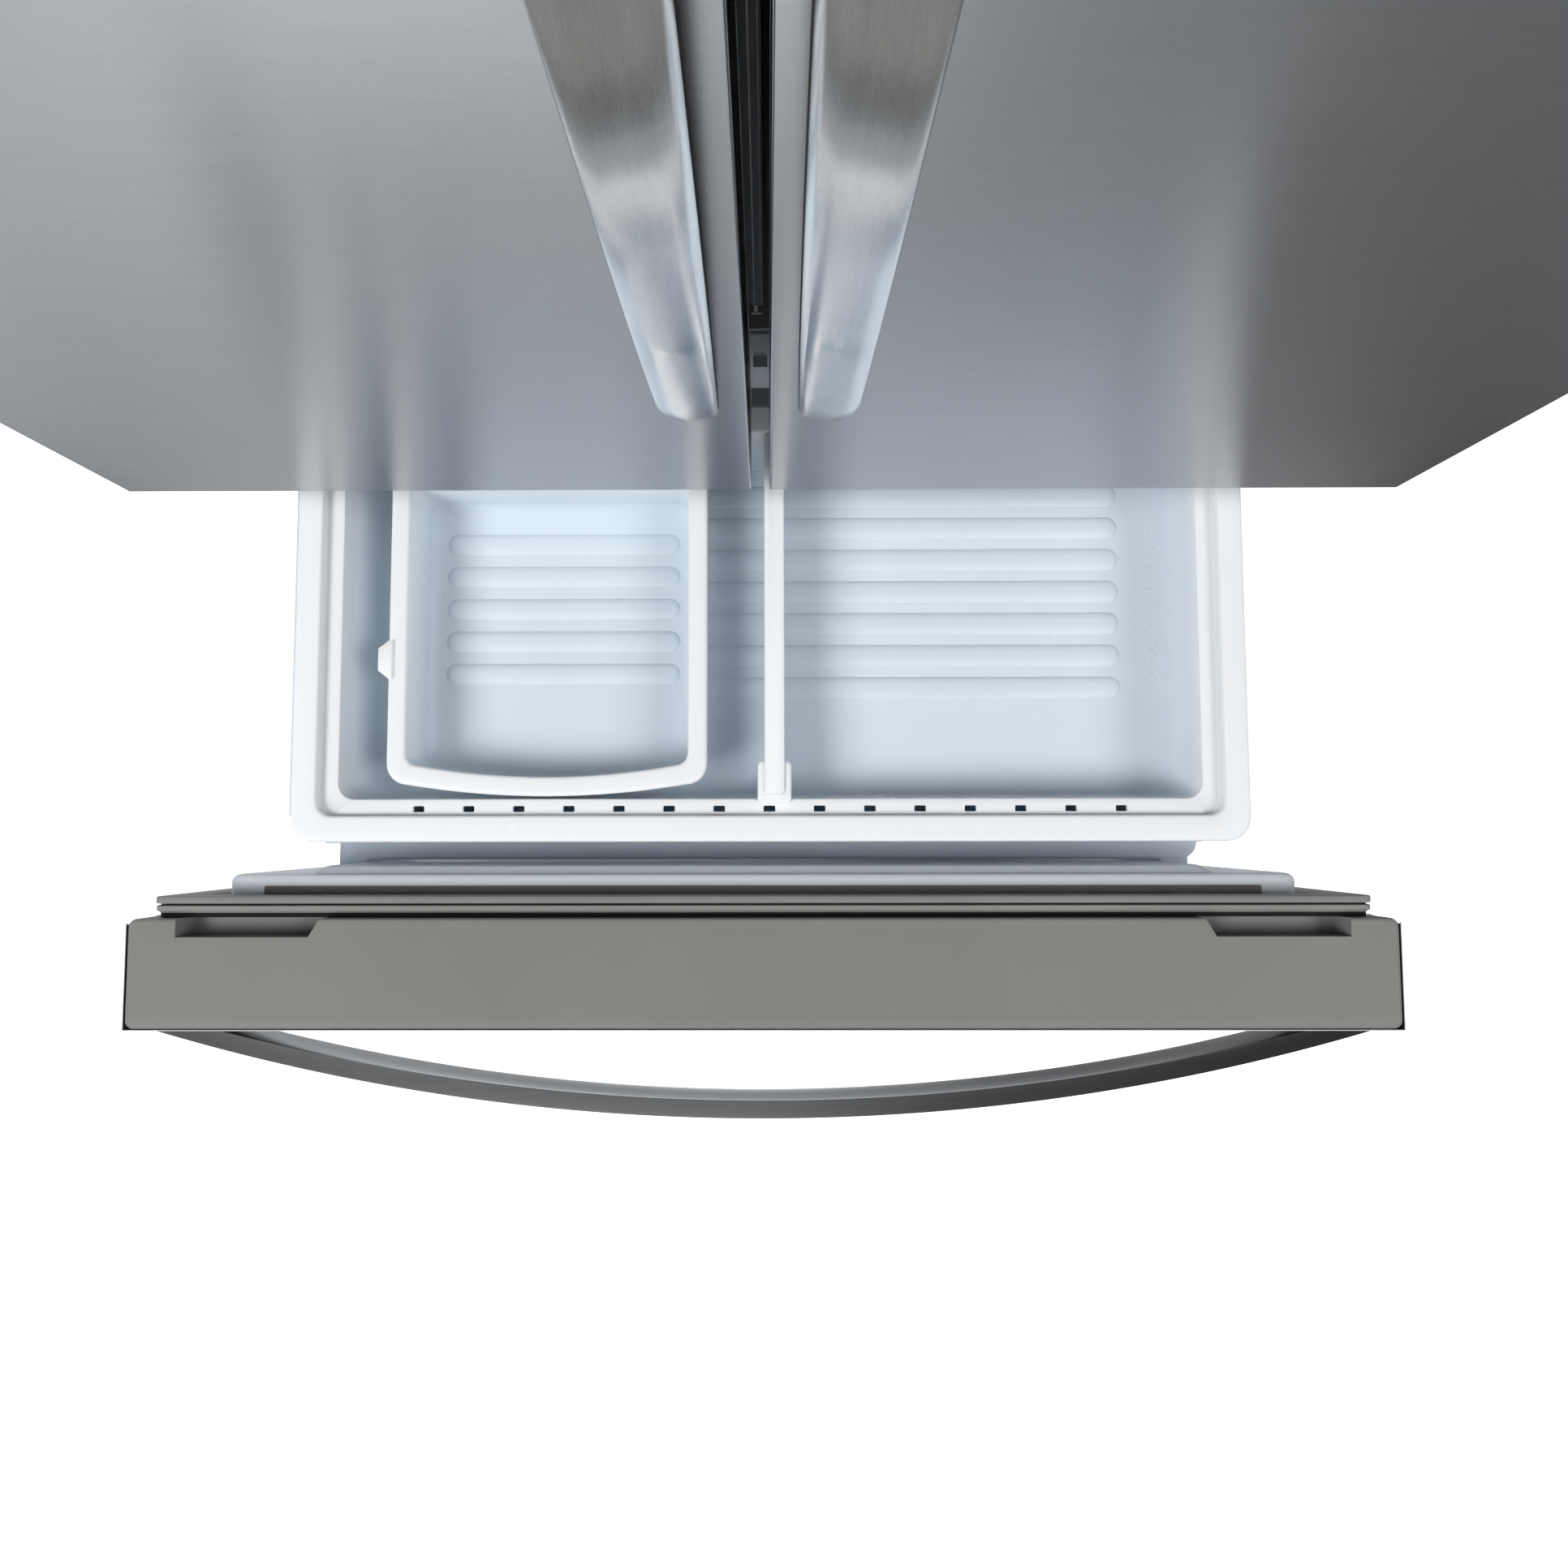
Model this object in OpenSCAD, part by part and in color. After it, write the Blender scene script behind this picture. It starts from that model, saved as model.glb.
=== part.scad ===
// French door refrigerator with a pull-out freezer drawer, drawn with the doors shut and the drawer out.
// Millimetres, +Z up, front towards -Y, floor at Z = 0. Case coordinates put Y = 0 on the door faces.

/* [Cabinet] */
// Width over the doors and cabinet
body_w = 908; // [750:1:1100]
// Height of the cabinet without the hinge covers
case_h = 1743; // [1450:1:2100]
// Depth of the cabinet from its front face to its back sheet
case_d = 746; // [620:1:900]
// Thickness of the insulated side walls at the front
side_wall = 44; // [36:1:60]
// Thickness of the insulated back wall
back_wall = 66; // [50:1:90]
// Height of the insulated floor above the room floor
floor_z = 150; // [140:1:190]
// Thickness of the painted steel sheets
sheet_t = 1; // [0.6:0.1:1.5]
// Wall of the vacuum-formed liners
liner_t = 2.5; // [1.5:0.1:4]
// How far the gland and spacers stand off the back sheet
rear_standoff = 4; // [2:0.5:12]

/* [Doors] */
// Thickness of the doors and of the drawer front
door_t = 79; // [62:0.5:95]
// Space between the back of a shut door and the cabinet, filled by the gasket
seal_gap = 16; // [13:0.5:20]
// Height of the doors' bottom edges above the floor
door_z = 628; // [600:1:740]
// Gap between the two doors
door_gap = 13; // [9:0.5:20]
// Thickness of the stainless skins
skin_t = 0.8; // [0.5:0.1:1.2]
// Radius of the skins' folded edges
skin_r = 1.6; // [1:0.2:8]
// Width of the gasket strips
gasket_w = 22; // [17:1:28]
// How far the door liners' raised walls reach into the cabinet
dyke_reach = 55; // [40:1:60]
// Depth of the door bins
bin_depth = 92; // [70:1:100]
// Height of the door bins
bin_h = 92; // [60:1:120]

/* [Hinges] */
// Distance of the door pivots from the cabinet's sides
pivot_in = 18; // [15:0.5:24]
// Distance of the door pivots behind the door faces
pivot_back = 58; // [50:0.5:62]
// Radius of the hinge pins
pin_r = 5; // [4:0.1:6]
// Running clearance round pins, axles and buttons
run_gap = 0.08; // [0.02:0.01:0.1]
// Thickness of the hinge plates
hinge_t = 4; // [3:0.5:5]
// Height of the hinge covers above the cabinet
hinge_cover_h = 32; // [22:1:45]

/* [Handles] */
// Width of the handle bars
handle_w = 34; // [24:1:42]
// Thickness of the handle bars
handle_t = 14; // [9:0.5:18]
// Reach of the door handles in front of the doors
handle_reach = 64; // [45:1:80]
// Reach of the drawer handle in front of the drawer
drawer_handle_reach = 68; // [45:1:90]
// Distance of a door handle's ends from the door's ends
handle_end = 111; // [60:1:180]
// Distance from the middle of the gap to the middle of a door handle at its ends
handle_x = 40; // [34:1:70]
// Lean of the door handles towards the gap, in degrees
handle_lean = 8; // [0:0.5:10]
// Distance of the drawer handle's ends from the drawer's sides
drawer_handle_end = 6; // [4:1:80]
// Distance of the drawer handle below the top of the drawer front
drawer_handle_drop = 20; // [14:1:120]

/* [Freezer drawer] */
// How far the drawer stands out
drawer_open = 385; // [250:1:400]
// Gap between the doors and the drawer front
drawer_gap = 12.7; // [11:0.1:18]
// Height of the drawer front's bottom edge above the floor
drawer_z = 95; // [85:1:120]
// Thickness of the drawer front's plastic caps
cap_t = 24; // [20:1:36]
// How far the liner's raised panel stands behind the drawer front
plateau_reach = 30; // [22:1:40]
// Space between the upper basket's rim and each compartment wall, before the shift
basket_room = 44; // [43:1:80]
// How far the baskets sit to the right of the middle
basket_shift = 6; // [0:0.5:6]
// Length of the upper basket
basket_l = 340; // [240:1:360]
// Height of the upper basket from its floor to its rim
basket_h = 62; // [50:1:76]
// Space between the lower basket's rim and each compartment wall, before the shift
lower_room = 44; // [43:1:80]
// Length of the lower basket
lower_l = 400; // [300:1:405]
// Space between the lower basket and the freezer's floor
lower_gap = 10; // [8:1:110]
// Wall of the baskets, bins and crispers
tub_t = 3; // [2:0.1:4]
// Width of the loose storage bin
tub_w = 248; // [180:1:252]
// Height of the telescopic rails
rail_h = 45; // [36:1:55]
// Length of the telescopic rails
rail_l = 440; // [400:1:445]

/* [Inside] */
// Height of the crispers
crisper_h = 232; // [160:1:236]
// Distance of the shelves' front edges behind the cabinet's front
shelf_in = 123; // [110:1:200]
// Height of the shelf frames
shelf_h = 20; // [14:1:28]
// Thickness of the shelf glass
glass_t = 4; // [3:0.5:6]
// Radius of the evaporator fan
evap_fan_r = 48; // [35:1:55]
// Radius of the condenser fan
cond_fan_r = 56; // [40:1:60]
// Radius of the compressor's shell
compressor_r = 76; // [60:1:84]
// Radius of the control buttons
button_r = 9; // [6:0.5:11]

/* [Base] */
// Radius of the rollers
roller_r = 22; // [18:1:26]
// Width of the rollers
roller_w = 24; // [16:1:28]
// Radius of the levelling feet
foot_r = 16; // [12:1:18]

/* [Hidden] */
$fn = 48;
eps = 0.5;
half_w = body_w / 2;
overall_d = door_t + seal_gap + case_d + rear_standoff;
face_y = (drawer_open + drawer_handle_reach - overall_d) / 2; // centres the part's box on Y = 0
front_y = door_t + seal_gap;                 // cabinet front, in case coordinates
back_y = front_y + case_d;                   // outside of the back sheet
mouth = half_w - side_wall;                  // half width of both compartments
fresh_z0 = door_z + 36;                      // floor of the fresh food compartment
fresh_z1 = case_h - side_wall - 1;           // its ceiling
freezer_z1 = door_z - 41;                    // ceiling of the freezer
fresh_back = back_y - back_wall;
freezer_back = back_y - back_wall - 6;
hump_z = floor_z + 190;                      // top of the step over the machine space
hump_y = front_y + 453;                      // front of that step
liner_r = 25;
door_top = case_h - 5;
door_h = door_top - door_z;
cap_door = 14;                               // thickness of the door caps
plate_t = 4;                                 // thickness of the liner plates
seal_t = seal_gap - 0.8;                     // gasket depth with the door shut
pivot_x = half_w - pivot_in;
dyke_x0 = door_gap / 2 + 36.5;
dyke_x1 = mouth - 10;
dyke_z0 = fresh_z0 + 14;
dyke_z1 = fresh_z1 - 14;
dyke_t = 4;
dyke_r = 20;
bar_x0 = -29;                                // mullion bar, on the left door
bar_x1 = door_gap / 2 - 4;
bar_d = 17;
bar_z0 = fresh_z0 + 28;
bar_z1 = fresh_z1 - 22;
bar_pin_r = 3;
bar_pivot = [-33, front_y + 13];
drawer_top = door_z - drawer_gap;
plateau_x = mouth - 6;
plateau_z0 = floor_z + 10;
plateau_z1 = freezer_z1 - 4;
pad_x = plateau_x - 59;
pad_reach = 6;
basket_w = 2 * (mouth - basket_room);        // over the upper basket's rim
lower_w = 2 * (mouth - lower_room);          // over the lower basket's rim
basket_z = door_z - 50;                      // rim of the upper basket
basket_y = front_y + 38;                     // its front edge with the drawer shut
basket_floor = basket_z - basket_h;
tray_r = 36;                                 // radius along the foot of its sides
rim_w = 20;
ledge_w = 13;
ledge_drop = 8;
lower_z = basket_floor - 22;                 // rim of the lower basket
lower_y = front_y + 22;
lower_floor = floor_z + lower_gap;
rail_z = lower_z - 106;                      // bottom of the telescopic rails
rail_y = door_t + plateau_reach + 3;          // front ends of the fixed and middle rails
rail_web = mouth - 0.5;                      // outside of the fixed rails
tub_y = basket_y + 35;
tub_l = basket_l - 78;
tub_x = -(basket_w / 2 - rim_w - ledge_w - 37);
divider_x = tub_x + tub_w + 52;              // clear of the loose bin
fresh_h = fresh_z1 - fresh_z0;
bin_heights = [fresh_z0 + 0.33 * fresh_h, fresh_z0 + 0.54 * fresh_h, fresh_z0 + 0.75 * fresh_h];
shelf_heights_left = [fresh_z0 + 0.5 * fresh_h, fresh_z0 + 0.74 * fresh_h];
shelf_heights_right = [fresh_z0 + 0.46 * fresh_h, fresh_z0 + 0.7 * fresh_h];
shelf_y0 = front_y + shelf_in;
duct_d = 20;
shelf_y1 = fresh_back - duct_d - 2;
cover_z = fresh_z0 + crisper_h + 22;         // shelf over the crispers
crisper_y = shelf_y0 + 15;
crisper_l = 408;
evap_y = freezer_back - 70;                  // face of the evaporator cover
fan_z = freezer_z1 - 76;
base_z = 60;                                 // top of the base rails
roller_x = half_w - 42;
roller_y0 = front_y + 60;
roller_y1 = back_y - 45;
leg_x = half_w - 29;
leg_y = front_y + 24;
machine_x = -230;                            // compressor centre
machine_y = hump_y + 155;
shroud_x = 16;
fan_bore = 3;
evap_z0 = hump_z + 16;
evap_h = fan_z - evap_fan_r - 12 - evap_z0;  // height of the evaporator's fins
button_x = 40;
panel_y = front_y + 50;
panel_z = fresh_z1 - 30;

// ---- helpers ----
module placed() { translate([0, face_y, 0]) children(); }
module shifted_out() { translate([0, face_y - drawer_open, 0]) children(); }
module in_drawer() { translate([basket_shift, face_y - drawer_open, 0]) children(); }
module slab(lo, hi) { translate(lo) cube(hi - lo); }
module both_sides() { children(); mirror([1, 0, 0]) children(); }
module round_rect(lo, hi, r) {
    translate([lo.x + r, lo.y]) square([hi.x - lo.x - 2 * r, hi.y - lo.y]);
    translate([lo.x, lo.y + r]) square([hi.x - lo.x, hi.y - lo.y - 2 * r]);
    for (x = [lo.x + r, hi.x - r], y = [lo.y + r, hi.y - r]) translate([x, y]) circle(r);
}
module upright(lo, hi, r) {                  // rounded along its vertical edges
    translate([0, 0, lo.z]) linear_extrude(hi.z - lo.z) round_rect([lo.x, lo.y], [hi.x, hi.y], r);
}
module facing(lo, hi, r) {                   // rounded along its edges that run front to back
    translate([0, hi.y, 0]) rotate([90, 0, 0])
        linear_extrude(hi.y - lo.y) round_rect([lo.x, lo.z], [hi.x, hi.z], r);
}
module along_x(x0, x1) {                     // extrudes a YZ outline from x0 to x1
    translate([x0, 0, 0]) rotate([90, 0, 90]) linear_extrude(x1 - x0) children();
}
module rod_x(x0, x1, y, z, r) { translate([x0, y, z]) rotate([0, 90, 0]) cylinder(r = r, h = x1 - x0); }
module rod_y(y0, y1, x, z, r) { translate([x, y0, z]) rotate([-90, 0, 0]) cylinder(r = r, h = y1 - y0); }
module rod_z(z0, z1, x, y, r) { translate([x, y, z0]) cylinder(r = r, h = z1 - z0); }
module funnel(lo, hi, lean, r) {             // a block whose sides lean in towards its bottom
    hull() {
        upright([lo.x, lo.y, hi.z - 0.1], hi, r);
        upright([lo.x + lean, lo.y + lean, lo.z], [hi.x - lean, hi.y - lean, lo.z + 0.1], r);
    }
}
module open_tub(lo, hi, lean, wall, r) {
    difference() {
        funnel(lo, hi, lean, r);
        funnel(lo + [wall, wall, wall], hi + [-wall, -wall, 1], lean, max(r - wall, 1));
    }
}
module frame_ring(lo, hi, r, w) {            // a flat ring facing front
    difference() {
        facing(lo, hi, r);
        facing(lo + [w, -1, w], hi + [-w, 1, -w], max(r - w, 2));
    }
}
module bow(span, reach, thick) {             // outline of a bowed bar that ends on the line y = 0
    skirt = 4;                               // thickness of its ends
    sag = reach - skirt;
    big = (span * span / 4 + sag * sag) / (2 * sag);
    intersection() {
        difference() {
            translate([0, big - reach]) circle(big, $fn = 240);
            translate([0, big - reach]) circle(big - thick, $fn = 240);
        }
        translate([-span / 2, -reach - 1]) square([span, reach + 1]);
    }
}

top_screw = 7;
mid_screw = 6;
module at_top_screws() for (p = [[-44, 24], [-18, 66], [-44, 66]])
    translate([pivot_x + p.x, front_y + p.y, case_h + hinge_t]) children();
module at_mid_screws() for (x = [mouth - 76, mouth - 43, mouth - 10])
    translate([x, front_y - 5, door_z - 1]) rotate([90, 0, 0]) children();
module screw(d, length) {                    // head at the origin, shank towards -Z
    cylinder(r = d * 0.9, h = d * 0.55, $fn = 6);
    translate([0, 0, -length]) cylinder(r = d / 2, h = length + 0.1);
}
module screw_bore(d) translate([0, 0, -16]) cylinder(r = d / 2 + 0.1, h = 30);

// ---- cabinet ----
module cabinet_panels() color("#8d9093") placed() difference() {
    bare_panels();
    both_sides() at_top_screws() screw_bore(top_screw);
}
module bare_panels() {
    both_sides() {
        slab([half_w - sheet_t, front_y, 20], [half_w, back_y - sheet_t, case_h]);
        slab([mouth, front_y, drawer_z], [half_w - sheet_t, front_y + sheet_t, case_h]);
    }
    slab([-half_w + sheet_t, front_y + sheet_t, case_h - sheet_t],
        [half_w - sheet_t, back_y - sheet_t, case_h]);
    slab([-mouth, front_y, fresh_z1], [mouth, front_y + sheet_t, case_h]);
    slab([-mouth, front_y, drawer_z], [mouth, front_y + sheet_t, floor_z]);
}

module freezer_outline(grow) {
    polygon([[front_y + 2 - (grow > 0 ? 0 : 2), floor_z - grow], [hump_y + grow, floor_z - grow],
        [hump_y + grow, hump_z - grow], [freezer_back + grow, hump_z - grow],
        [freezer_back + grow, freezer_z1 + grow], [front_y + 2 - (grow > 0 ? 0 : 2), freezer_z1 + grow]]);
}

module insulation_foam() color("#e8d9a0") placed() {
    clear = 0.3;
    difference() {
        slab([-half_w + sheet_t + clear, front_y + sheet_t + clear, floor_z - 44],
            [half_w - sheet_t - clear, back_y - sheet_t - clear, case_h - sheet_t - clear]);
        facing([-mouth - liner_t - clear, 0, fresh_z0 - liner_t - clear],
            [mouth + liner_t + clear, fresh_back + liner_t + clear, fresh_z1 + liner_t + clear],
            liner_r + liner_t + clear);
        along_x(-mouth - liner_t - clear, mouth + liner_t + clear) freezer_outline(liner_t + clear);
        slab([-mouth - clear, 0, freezer_z1 - clear], [mouth + clear, front_y + 14, fresh_z0 + clear]);
        slab([-half_w, hump_y + 40, 0], [half_w, back_y, hump_z - 40]);
        both_sides() at_top_screws() screw_bore(top_screw);
        slab([-mouth - liner_t - clear, 0, floor_z - liner_t - clear],
            [mouth + liner_t + clear, front_y + 2.1, freezer_z1 + clear]);
    }
}

module fresh_food_liner() color("#f4f6f7") placed() difference() {
    facing([-mouth - liner_t, front_y + 2, fresh_z0 - liner_t],
        [mouth + liner_t, fresh_back + liner_t, fresh_z1 + liner_t], liner_r + liner_t);
    facing([-mouth, 0, fresh_z0], [mouth, fresh_back, fresh_z1], liner_r);
}

module freezer_liner() color("#f4f6f7") placed() difference() {
    along_x(-mouth - liner_t, mouth + liner_t) freezer_outline(liner_t);
    along_x(-mouth, mouth) freezer_outline(0);
    slab([-mouth, 0, floor_z], [mouth, front_y + 3, freezer_z1]);
}

module centre_rail() color("#2c2d2f") placed() {
    rail_d = 12;
    guide_x = 5;
    rail_z0 = freezer_z1 + liner_t + eps;
    difference() {
        slab([-mouth + eps, front_y, rail_z0], [mouth - eps, front_y + rail_d, fresh_z0 - liner_t - eps]);
        slab([-mouth + 2, front_y + 1.5, rail_z0 + 2],
            [mouth - 2, front_y + rail_d + 1, fresh_z0 - liner_t - 2]);
        both_sides() at_mid_screws() screw_bore(mid_screw);
    }
    slab([-guide_x, front_y - 8, door_z - 17], [guide_x, front_y, door_z + 6]);
}

module back_cover() color("#9aa0a3") placed() {
    slot_h = 6;
    slab([-half_w + sheet_t, back_y - sheet_t, hump_z - 40], [half_w - sheet_t, back_y, case_h]);
    difference() {
        slab([-half_w + sheet_t, back_y - 2, 25], [half_w - sheet_t, back_y, hump_z - 41]);
        for (x = [-360:72:360], z = [70:18:232]) if (abs(x - 288) > 40 || z > 150)
            slab([x - 26, back_y - 3, z], [x + 26, back_y + 1, z + slot_h]);
        rod_y(back_y - 3, back_y + 1, 290, 110, 13);
    }
    both_sides() slab([half_w - 80, back_y, case_h - 90], [half_w - 40, back_y + rear_standoff, case_h - 60]);
}

module base_frame() color("#6d7174") placed() {
    ear_t = 2;
    axle_r = 4;
    both_sides() difference() {
        union() {
            slab([half_w - 17, front_y + 16, 30], [half_w - sheet_t - eps, back_y - 4, base_z]);
            for (y = [roller_y0, roller_y1],
                x = [roller_x - roller_w / 2 - 1 - ear_t, roller_x + roller_w / 2 + 1])
                slab([x, y - 14, 12], [x + ear_t, y + 14, base_z]);
            for (y = [roller_y0, roller_y1])
                slab([roller_x - roller_w / 2 - 3, y - 14, base_z - 3], [half_w - 16, y + 14, base_z]);
            slab([leg_x - 14, leg_y - 8, base_z - 14], [half_w - 16, leg_y + 12, base_z - 8]);
        }
        for (y = [roller_y0, roller_y1])
            rod_x(roller_x - roller_w, half_w, y, roller_r, axle_r + run_gap);
        rod_z(0, base_z - 1, leg_x, leg_y, 5 + run_gap);
    }
    for (y = [roller_y0 - 14, roller_y1 - 14])
        slab([-roller_x + roller_w / 2, y, base_z - 3], [roller_x - roller_w / 2, y + 28, base_z]);
    slab([-half_w + 17, hump_y + 46, base_z - 4], [half_w - 17, roller_y1 - 14, base_z - 1]);
}

module toe_grille() color("#3c3e40") placed() difference() {
    slab([-half_w + 14, front_y + 4, 22], [half_w - 14, front_y + 15, drawer_z - 7]);
    slab([-half_w + 18, front_y + 8, 19], [half_w - 18, front_y + 16, drawer_z - 10]);
    for (z = [34:11:67], x = [-360:90:360]) slab([x - 39, front_y, z], [x + 39, front_y + 9, z + 5]);
}

module compressor() color("#1f2123") placed() translate([machine_x, machine_y, base_z - 1]) {
    pot_h = 172;
    dome_r = (compressor_r * compressor_r + 34 * 34) / 68;
    rotate_extrude($fn = 64) {
        translate([0, 8]) square([compressor_r, pot_h - 8 - 34]);
        intersection() {
            translate([0, pot_h - dome_r]) circle(dome_r);
            translate([0, pot_h - 35]) square([compressor_r, 35]);
        }
    }
    for (x = [-1, 1]) slab([x * 82 - 14, -70, 3], [x * 82 + 14, 70, 8]);
    slab([-82, -50, 3], [82, 50, 8]);
    for (x = [-82, 82], y = [-56, 56]) rod_z(0, 16, x, y, 9);
    slab([compressor_r - 4, -22, 70], [compressor_r + 26, 22, 128]);
    rod_z(pot_h - 20, pot_h + 30, -30, 22, 5);
    rod_z(pot_h - 20, pot_h + 22, 26, -20, 4);
}

module condenser() color("#2b2d2f") placed() {
    x0 = 70;
    x1 = 330;
    for (i = [0:21])
        slab([x0 + 12 * i, machine_y - 70, base_z], [x0 + 12 * i + 1, machine_y + 70, base_z + 150]);
    for (i = [0:4], j = [0:4])
        rod_x(x0 - 8, x1, machine_y - 54 + 27 * i, base_z + 18 + 28 * j, 4);
    slab([x0 - 8, machine_y - 60, base_z + 12], [x0 - 4, machine_y + 60, base_z + 136]);
}

module fan_shroud() color("#303234") placed() {
    z = base_z + 78;
    difference() {
        slab([shroud_x, machine_y - 74, base_z], [shroud_x + 4, machine_y + 74, base_z + 156]);
        rod_x(shroud_x - 1, shroud_x + 5, machine_y, z, cond_fan_r + 4);
    }
    slab([shroud_x - 26, machine_y - 74, z - 5], [shroud_x + 4, machine_y - 70, z + 5]);
    slab([shroud_x - 26, machine_y - 74, z - 5], [shroud_x - 22, machine_y + 4, z + 5]);
    rod_x(shroud_x - 46, shroud_x - 22, machine_y, z, 18);
    rod_x(shroud_x - 23, shroud_x - 2, machine_y, z, fan_bore - run_gap);
}

module blades(r, hub_r, count, depth) {      // a fan that turns about +Z, centred on its hub
    difference() {
        cylinder(r = hub_r, h = depth);
        translate([0, 0, -1]) cylinder(r = fan_bore, h = depth - 3);
    }
    for (i = [0:count - 1]) rotate([0, 0, i * 360 / count])
        translate([hub_r - 2, 0, depth / 2]) rotate([28, 0, 0]) translate([0, -r * 0.2, -0.8])
            cube([r * 0.93 - hub_r, r * 0.4, 1.6]);
}

module condenser_fan() color("#3f4245") placed()
    translate([shroud_x - 14, machine_y, base_z + 78]) rotate([0, 90, 0]) blades(cond_fan_r, 17, 5, 18);

module evaporator() color("#c9ccd0") placed() {
    for (i = [0:32])
        slab([-288 + 18 * i, evap_y + 12, evap_z0], [-287 + 18 * i, evap_y + 58, evap_z0 + evap_h]);
    for (i = [0:1], j = [0:3])
        rod_x(-300, 300, evap_y + 24 + 22 * i, evap_z0 + evap_h * (0.14 + 0.24 * j), 4);
    both_sides() slab([298, evap_y + 16, evap_z0 + 3], [302, evap_y + 54, evap_z0 + evap_h - 3]);
}

module evaporator_cover() color("#eef1f3") placed() {
    difference() {
        slab([-mouth + 1, evap_y, hump_z + 1], [mouth - 1, evap_y + 3, freezer_z1 - 1]);
        rod_y(evap_y - 1, evap_y + 4, 0, fan_z, evap_fan_r + 5);
        for (x = [-320:64:320], z = [hump_z + 20, hump_z + 34]) if (abs(x) > 100)
            slab([x - 22, evap_y - 1, z], [x + 22, evap_y + 4, z + 6]);
    }
    for (a = [0:60:120]) translate([0, evap_y + 24, fan_z]) rotate([0, a, 0])
        slab([-evap_fan_r - 8, 0, -2], [evap_fan_r + 8, 3, 2]);
    rod_y(evap_y + 24, evap_y + 44, 0, fan_z, 17);
    rod_y(evap_y + 13, evap_y + 25, 0, fan_z, fan_bore - run_gap);
    for (a = [0:60:300]) translate([0, 0, fan_z]) rotate([0, a, 0])
        slab([evap_fan_r + 5, evap_y + 2, -2], [evap_fan_r + 8, evap_y + 27, 2]);
}

module evaporator_fan() color("#f0f0ee") placed()
    translate([0, evap_y + 23, fan_z]) rotate([90, 0, 0]) blades(evap_fan_r, 15, 5, 16);

// ---- fresh food compartment ----
module air_duct() color("#f2f4f5") placed() difference() {
    upright([-88, fresh_back - duct_d, fresh_z0 + 46], [88, fresh_back, fresh_z1 - 40], 8);
    slab([-84, fresh_back - duct_d + 3, fresh_z0 + 50], [84, fresh_back - 1, fresh_z1 - 44]);
    for (z = [fresh_z0 + 320:150:fresh_z1 - 120]) both_sides()
        slab([26, fresh_back - duct_d - 1, z], [74, fresh_back - duct_d + 4, z + 12]);
}

module control_panel() color("#e9ecee") placed() difference() {
    upright([-170, panel_y, panel_z], [170, panel_y + 120, fresh_z1], 12);
    for (x = [-button_x, button_x]) rod_y(panel_y - 1, panel_y + 14, x, panel_z + 15, button_r + run_gap);
    slab([-140, panel_y + 40, panel_z - 1], [140, panel_y + 100, panel_z + 6]);
}

module button(x) placed() {
    rod_y(panel_y - 2.5, panel_y + 6, x, panel_z + 15, button_r);
    rod_y(panel_y + 6, panel_y + 9, x, panel_z + 15, button_r * 0.5);
}
module button_colder() color("#c8ccd0") button(-button_x);
module button_warmer() color("#c8ccd0") button(button_x);

module shelf_tracks() color("#d8dbdd") placed() both_sides() for (x = [110, mouth - 25]) difference() {
    slab([x - 8, fresh_back - 6, fresh_z0 + 300], [x + 8, fresh_back, fresh_z1 - 50]);
    for (z = [fresh_z0 + 316:26:fresh_z1 - 70])
        slab([x - 2.5, fresh_back - 7, z], [x + 2.5, fresh_back - 1, z + 14]);
}

module shelf(x0, x1, z, hooks) {
    rim = 18;
    difference() {
        upright([x0, shelf_y0, z], [x1, shelf_y1, z + shelf_h], 8);
        slab([x0 + rim, shelf_y0 + rim, z - 1], [x1 - rim, shelf_y1 - rim, z + shelf_h + 1]);
        slab([x0 + rim - 6, shelf_y0 + rim - 6, z + shelf_h - glass_t - 0.4],
            [x1 - rim + 6, shelf_y1 - rim + 6, z + shelf_h + 1]);
    }
    for (x = hooks) slab([x - 2, shelf_y1 - 2, z + 1], [x + 2, fresh_back - 6.2, z + shelf_h - 2]);
}
module shelf_glass(x0, x1, z) slab([x0 + 12.2, shelf_y0 + 12.2, z + shelf_h - glass_t - 0.2],
    [x1 - 12.2, shelf_y1 - 12.2, z + shelf_h - 0.2]);
shelf_x0 = 8;
shelf_x1 = mouth - 10;
module shelf_frames() color("#dfe3e6") placed() {
    for (z = shelf_heights_left) shelf(-shelf_x1, -shelf_x0, z, [-mouth + 25, -110]);
    for (z = shelf_heights_right) shelf(shelf_x0, shelf_x1, z, [110, mouth - 25]);
    shelf(-shelf_x1, shelf_x1, cover_z, []);
    both_sides() slab([shelf_x1, shelf_y0 + 20, cover_z], [mouth - 0.3, shelf_y1 - 20, cover_z + 8]);
}
module shelf_glasses() color("#cfe3ea", 0.5) placed() {
    for (z = shelf_heights_left) shelf_glass(-shelf_x1, -shelf_x0, z);
    for (z = shelf_heights_right) shelf_glass(shelf_x0, shelf_x1, z);
    shelf_glass(-shelf_x1, shelf_x1, cover_z);
}

module crisper() {                           // the right-hand one, mirrored for the left
    z0 = fresh_z0 + 6;
    open_tub([6, crisper_y, z0], [shelf_x1, crisper_y + crisper_l, z0 + crisper_h - 8], 4, tub_t, 12);
    difference() {
        slab([14, crisper_y - 10, z0 + crisper_h - 34],
            [shelf_x1 - 8, crisper_y + tub_t, z0 + crisper_h - 8]);
        slab([80, crisper_y - 7, z0 + crisper_h - 35], [shelf_x1 - 74, crisper_y - 1, z0 + crisper_h - 12]);
    }
}
module crisper_left() color("#dfeaf0") placed() mirror([1, 0, 0]) crisper();
module crisper_right() color("#dfeaf0") placed() crisper();

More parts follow.
